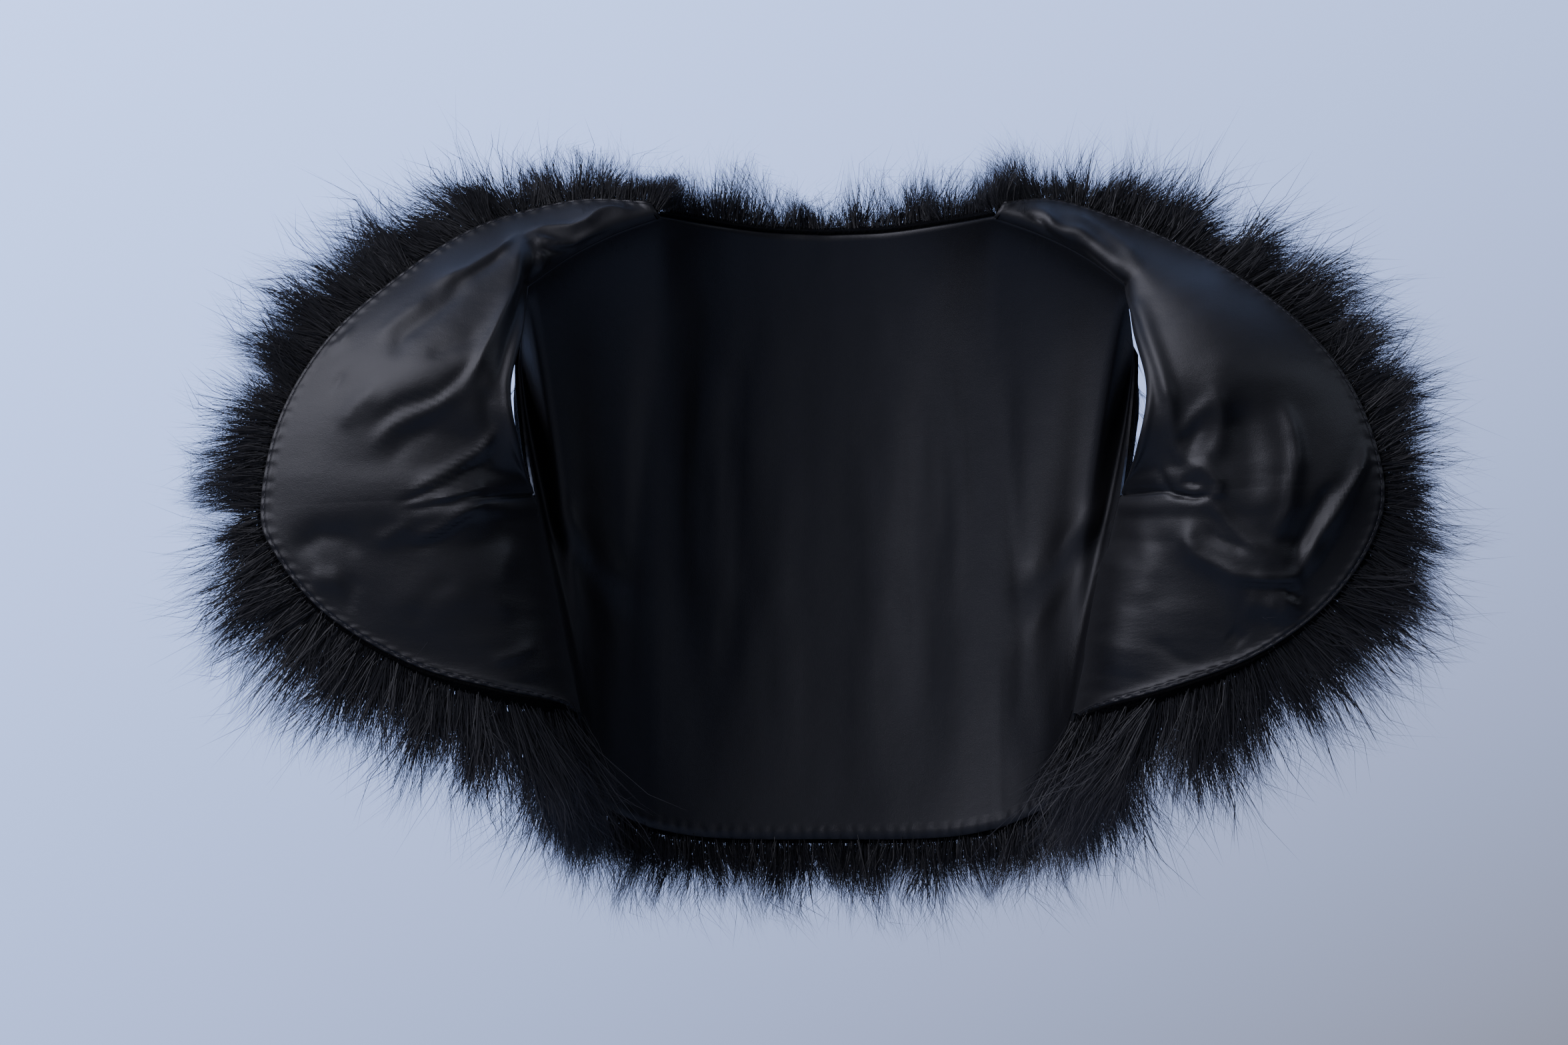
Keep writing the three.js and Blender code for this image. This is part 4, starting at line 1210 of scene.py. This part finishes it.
for front in (right, left):
    rows = np.linspace(-1, LAST_ROW + 1, 270)
    across = 1 - 0.85 * np.clip(np.maximum(-rows, rows - LAST_ROW), 0, 1)
    place, out, away, tangent = edge_frame(front, np.clip(rows, 0, LAST_ROW), across, across - 0.03)
    low = smoothstep(rows, 9, LAST_ROW)[:, None]
    neck_end = np.clip(-rows, 0, 1)[:, None]
    flat = unit(away * (1, 0.2, 1) + (0, 0.09, 0) - tangent * 0.7 * neck_end)
    stand = flat * (1 - low) + np.array([0, 0.3, -1.6]) * low
    stand += tangent * (1, 0.3, 1) * tufted(rows, 0.42, 7 + front.side, 50)[:, None]
    # short at the neck, long at the shoulder, a little shorter beside the armhole and longest below
    long = 0.72 + 0.4 * smoothstep(rows, 0, 2.5)
    long += 0.15 * smoothstep(rows, 6, 8.5) - 0.1 * smoothstep(rows, 3, 6)
    long += 0.25 * low[:, 0]
    long *= 1 + tufted(rows, 0.24, 3)
    edging(
        f"edging_front_{front.name}",
        place,
        out,
        away,
        unit(stand),
        long,
        2520,
        length=0.055,
        splay=(0.22, 0.08, 0.22),
        clump_size=0.022,
        clump=(0.042, 0.013, 0.037),
        wave=(0.018, 0.008, 0.018),
        flatten=(0, -0.53, 0),
        sag=0.006,
        seed=21 + front.side,
    )

# the hem's edging, whose plumes hang down and lengthen towards the sides
columns = np.linspace(-SIDE_COLUMN + 0.02, SIDE_COLUMN - 0.02, 180)
place, out, away, tangent = edge_frame(back, columns, np.zeros_like(columns), 0.03)
side = smoothstep(np.abs(columns), 4.5, SIDE_COLUMN - 0.5)
edging(
    "edging_hem",
    place,
    out,
    away,
    unit(away + np.array([0, 0, -1]) + tangent * tufted(columns, 0.3, 4, 34)[:, None]),
    (1 + 0.4 * side) * (1 + tufted(columns, 0.16, 4)),
    1400,
    length=0.047,
    splay=(0.2, 0.12, 0.2),
    clump_size=0.022,
    clump=(0.05, 0.03, 0.04),
    wave=(0.018, 0.01, 0.018),
    sag=0.004,
    seed=31,
)

# the neck's edging, short plumes that stand up behind the neck
columns = np.linspace(-NECK_POINT, NECK_POINT, 90)
place, out, away, tangent = edge_frame(back, columns, np.ones_like(columns), 0.97)
edging(
    "edging_neck",
    place,
    out,
    away,
    unit(away + out * 1.1 + tangent * tufted(columns, 0.3, 6, 16)[:, None]),
    0.8 * (1 + tufted(columns, 0.16, 6, 20)),
    640,
    length=0.05,
    splay=(0.25, 0.2, 0.2),
    clump_size=0.022,
    clump=(0.045, 0.03, 0.045),
    wave=(0.018, 0.01, 0.018),
    sag=0.006,
    seed=41,
)


# The studio: a pale matte floor, a pale blue-grey painted wall behind, with painted light making it lighter
# towards the upper left and painted shade darker towards the lower right, a darker room in front, and soft
# lights. The largest light stands at the upper left.
floor_material, _, floor_shader = new_material("pale_floor")
floor_shader.inputs["Base Color"].default_value = rgb("#777b84")
floor_shader.inputs["Roughness"].default_value = 0.9
corners = np.array([(-1800, -1500, -760), (1800, -1500, -760), (1800, 1800, -760), (-1800, 1800, -760)])
floor = finish_mesh("floor", corners, [(0, 1, 2, 3)], floor_material)

world = bpy.data.worlds.new("surround")
bpy.context.scene.world = world
world.use_nodes = True


def share_along(direction, low, high):
    """How far the surround's direction lies along a given one, from 0 to 1."""
    along = add_node(
        world.node_tree, "ShaderNodeVectorMath", {0: toward, 1: direction}, operation="DOT_PRODUCT"
    )
    inputs = {"Value": along.outputs["Value"], "From Min": low, "From Max": high}
    return add_node(world.node_tree, "ShaderNodeMapRange", inputs).outputs["Result"]


def blend(share, low, high):
    """A colour that goes from low to high with a share."""
    ramp = add_node(world.node_tree, "ShaderNodeValToRGB", {"Fac": share})
    ramp.color_ramp.elements[0].color, ramp.color_ramp.elements[1].color = rgb(low), rgb(high)
    return ramp.outputs["Color"]


toward = add_node(world.node_tree, "ShaderNodeTexCoord").outputs["Generated"]
# the wall behind: painted light and shade, lighter towards the upper left and darker towards the lower right
wall_with_painted_light = blend(share_along((-0.5, 0, 0.92), -0.232, 0.232), "#616472", "#a5bfff")
room = blend(share_along((-0.75, -0.35, 0.55), -0.1, 0.95), "#080809", "#525461")
behind = share_along((0, 1, 0), 0.1, 0.7)
surround = add_node(
    world.node_tree, "ShaderNodeMix", {0: behind, 6: room, 7: wall_with_painted_light}, data_type="RGBA"
)
background = world.node_tree.nodes["Background"]
world.node_tree.links.new(surround.outputs[2], background.inputs["Color"])
background.inputs["Strength"].default_value = 2.7


MIDDLE = Vector((0, 0, -0.15))


def soft_light(name, place, size, power, colour):
    """A round soft light turned to the middle of the bolero."""
    data = bpy.data.lights.new(name, "AREA")
    data.shape, data.size, data.energy, data.color = "DISK", size, power, rgb(colour)[:3]
    made = bpy.data.objects.new(name, data)
    bpy.context.scene.collection.objects.link(made)
    made.location = place
    way = MIDDLE - made.location
    made.rotation_euler = way.to_track_quat("-Z", "Y").to_euler()


soft_light("key", (-1.85, -1.45, 1.9), 3.0, 82, "#eeeeff")
soft_light("window", (1.9, -0.6, 1.1), 0.8, 4, "#dfe8ff")
soft_light("fill", (0.4, -2.4, -0.2), 1.6, 1.5, "#e9edff")
soft_light("from_behind", (-0.8, 2.3, 1.7), 1.8, 40, "#eef1ff")

camera_data = bpy.data.cameras.new("camera")
# An 85 mm lens, 1.94 m in front and level with the middle of the fronts.
camera_data.lens, camera_data.sensor_width, camera_data.sensor_fit = 85, 36, "HORIZONTAL"
camera = bpy.data.objects.new("camera", camera_data)
bpy.context.scene.collection.objects.link(camera)
camera.location = (-0.02275, -1.944, -0.1614)
camera.rotation_euler = (math.pi / 2, 0, 0)
bpy.context.scene.camera = camera
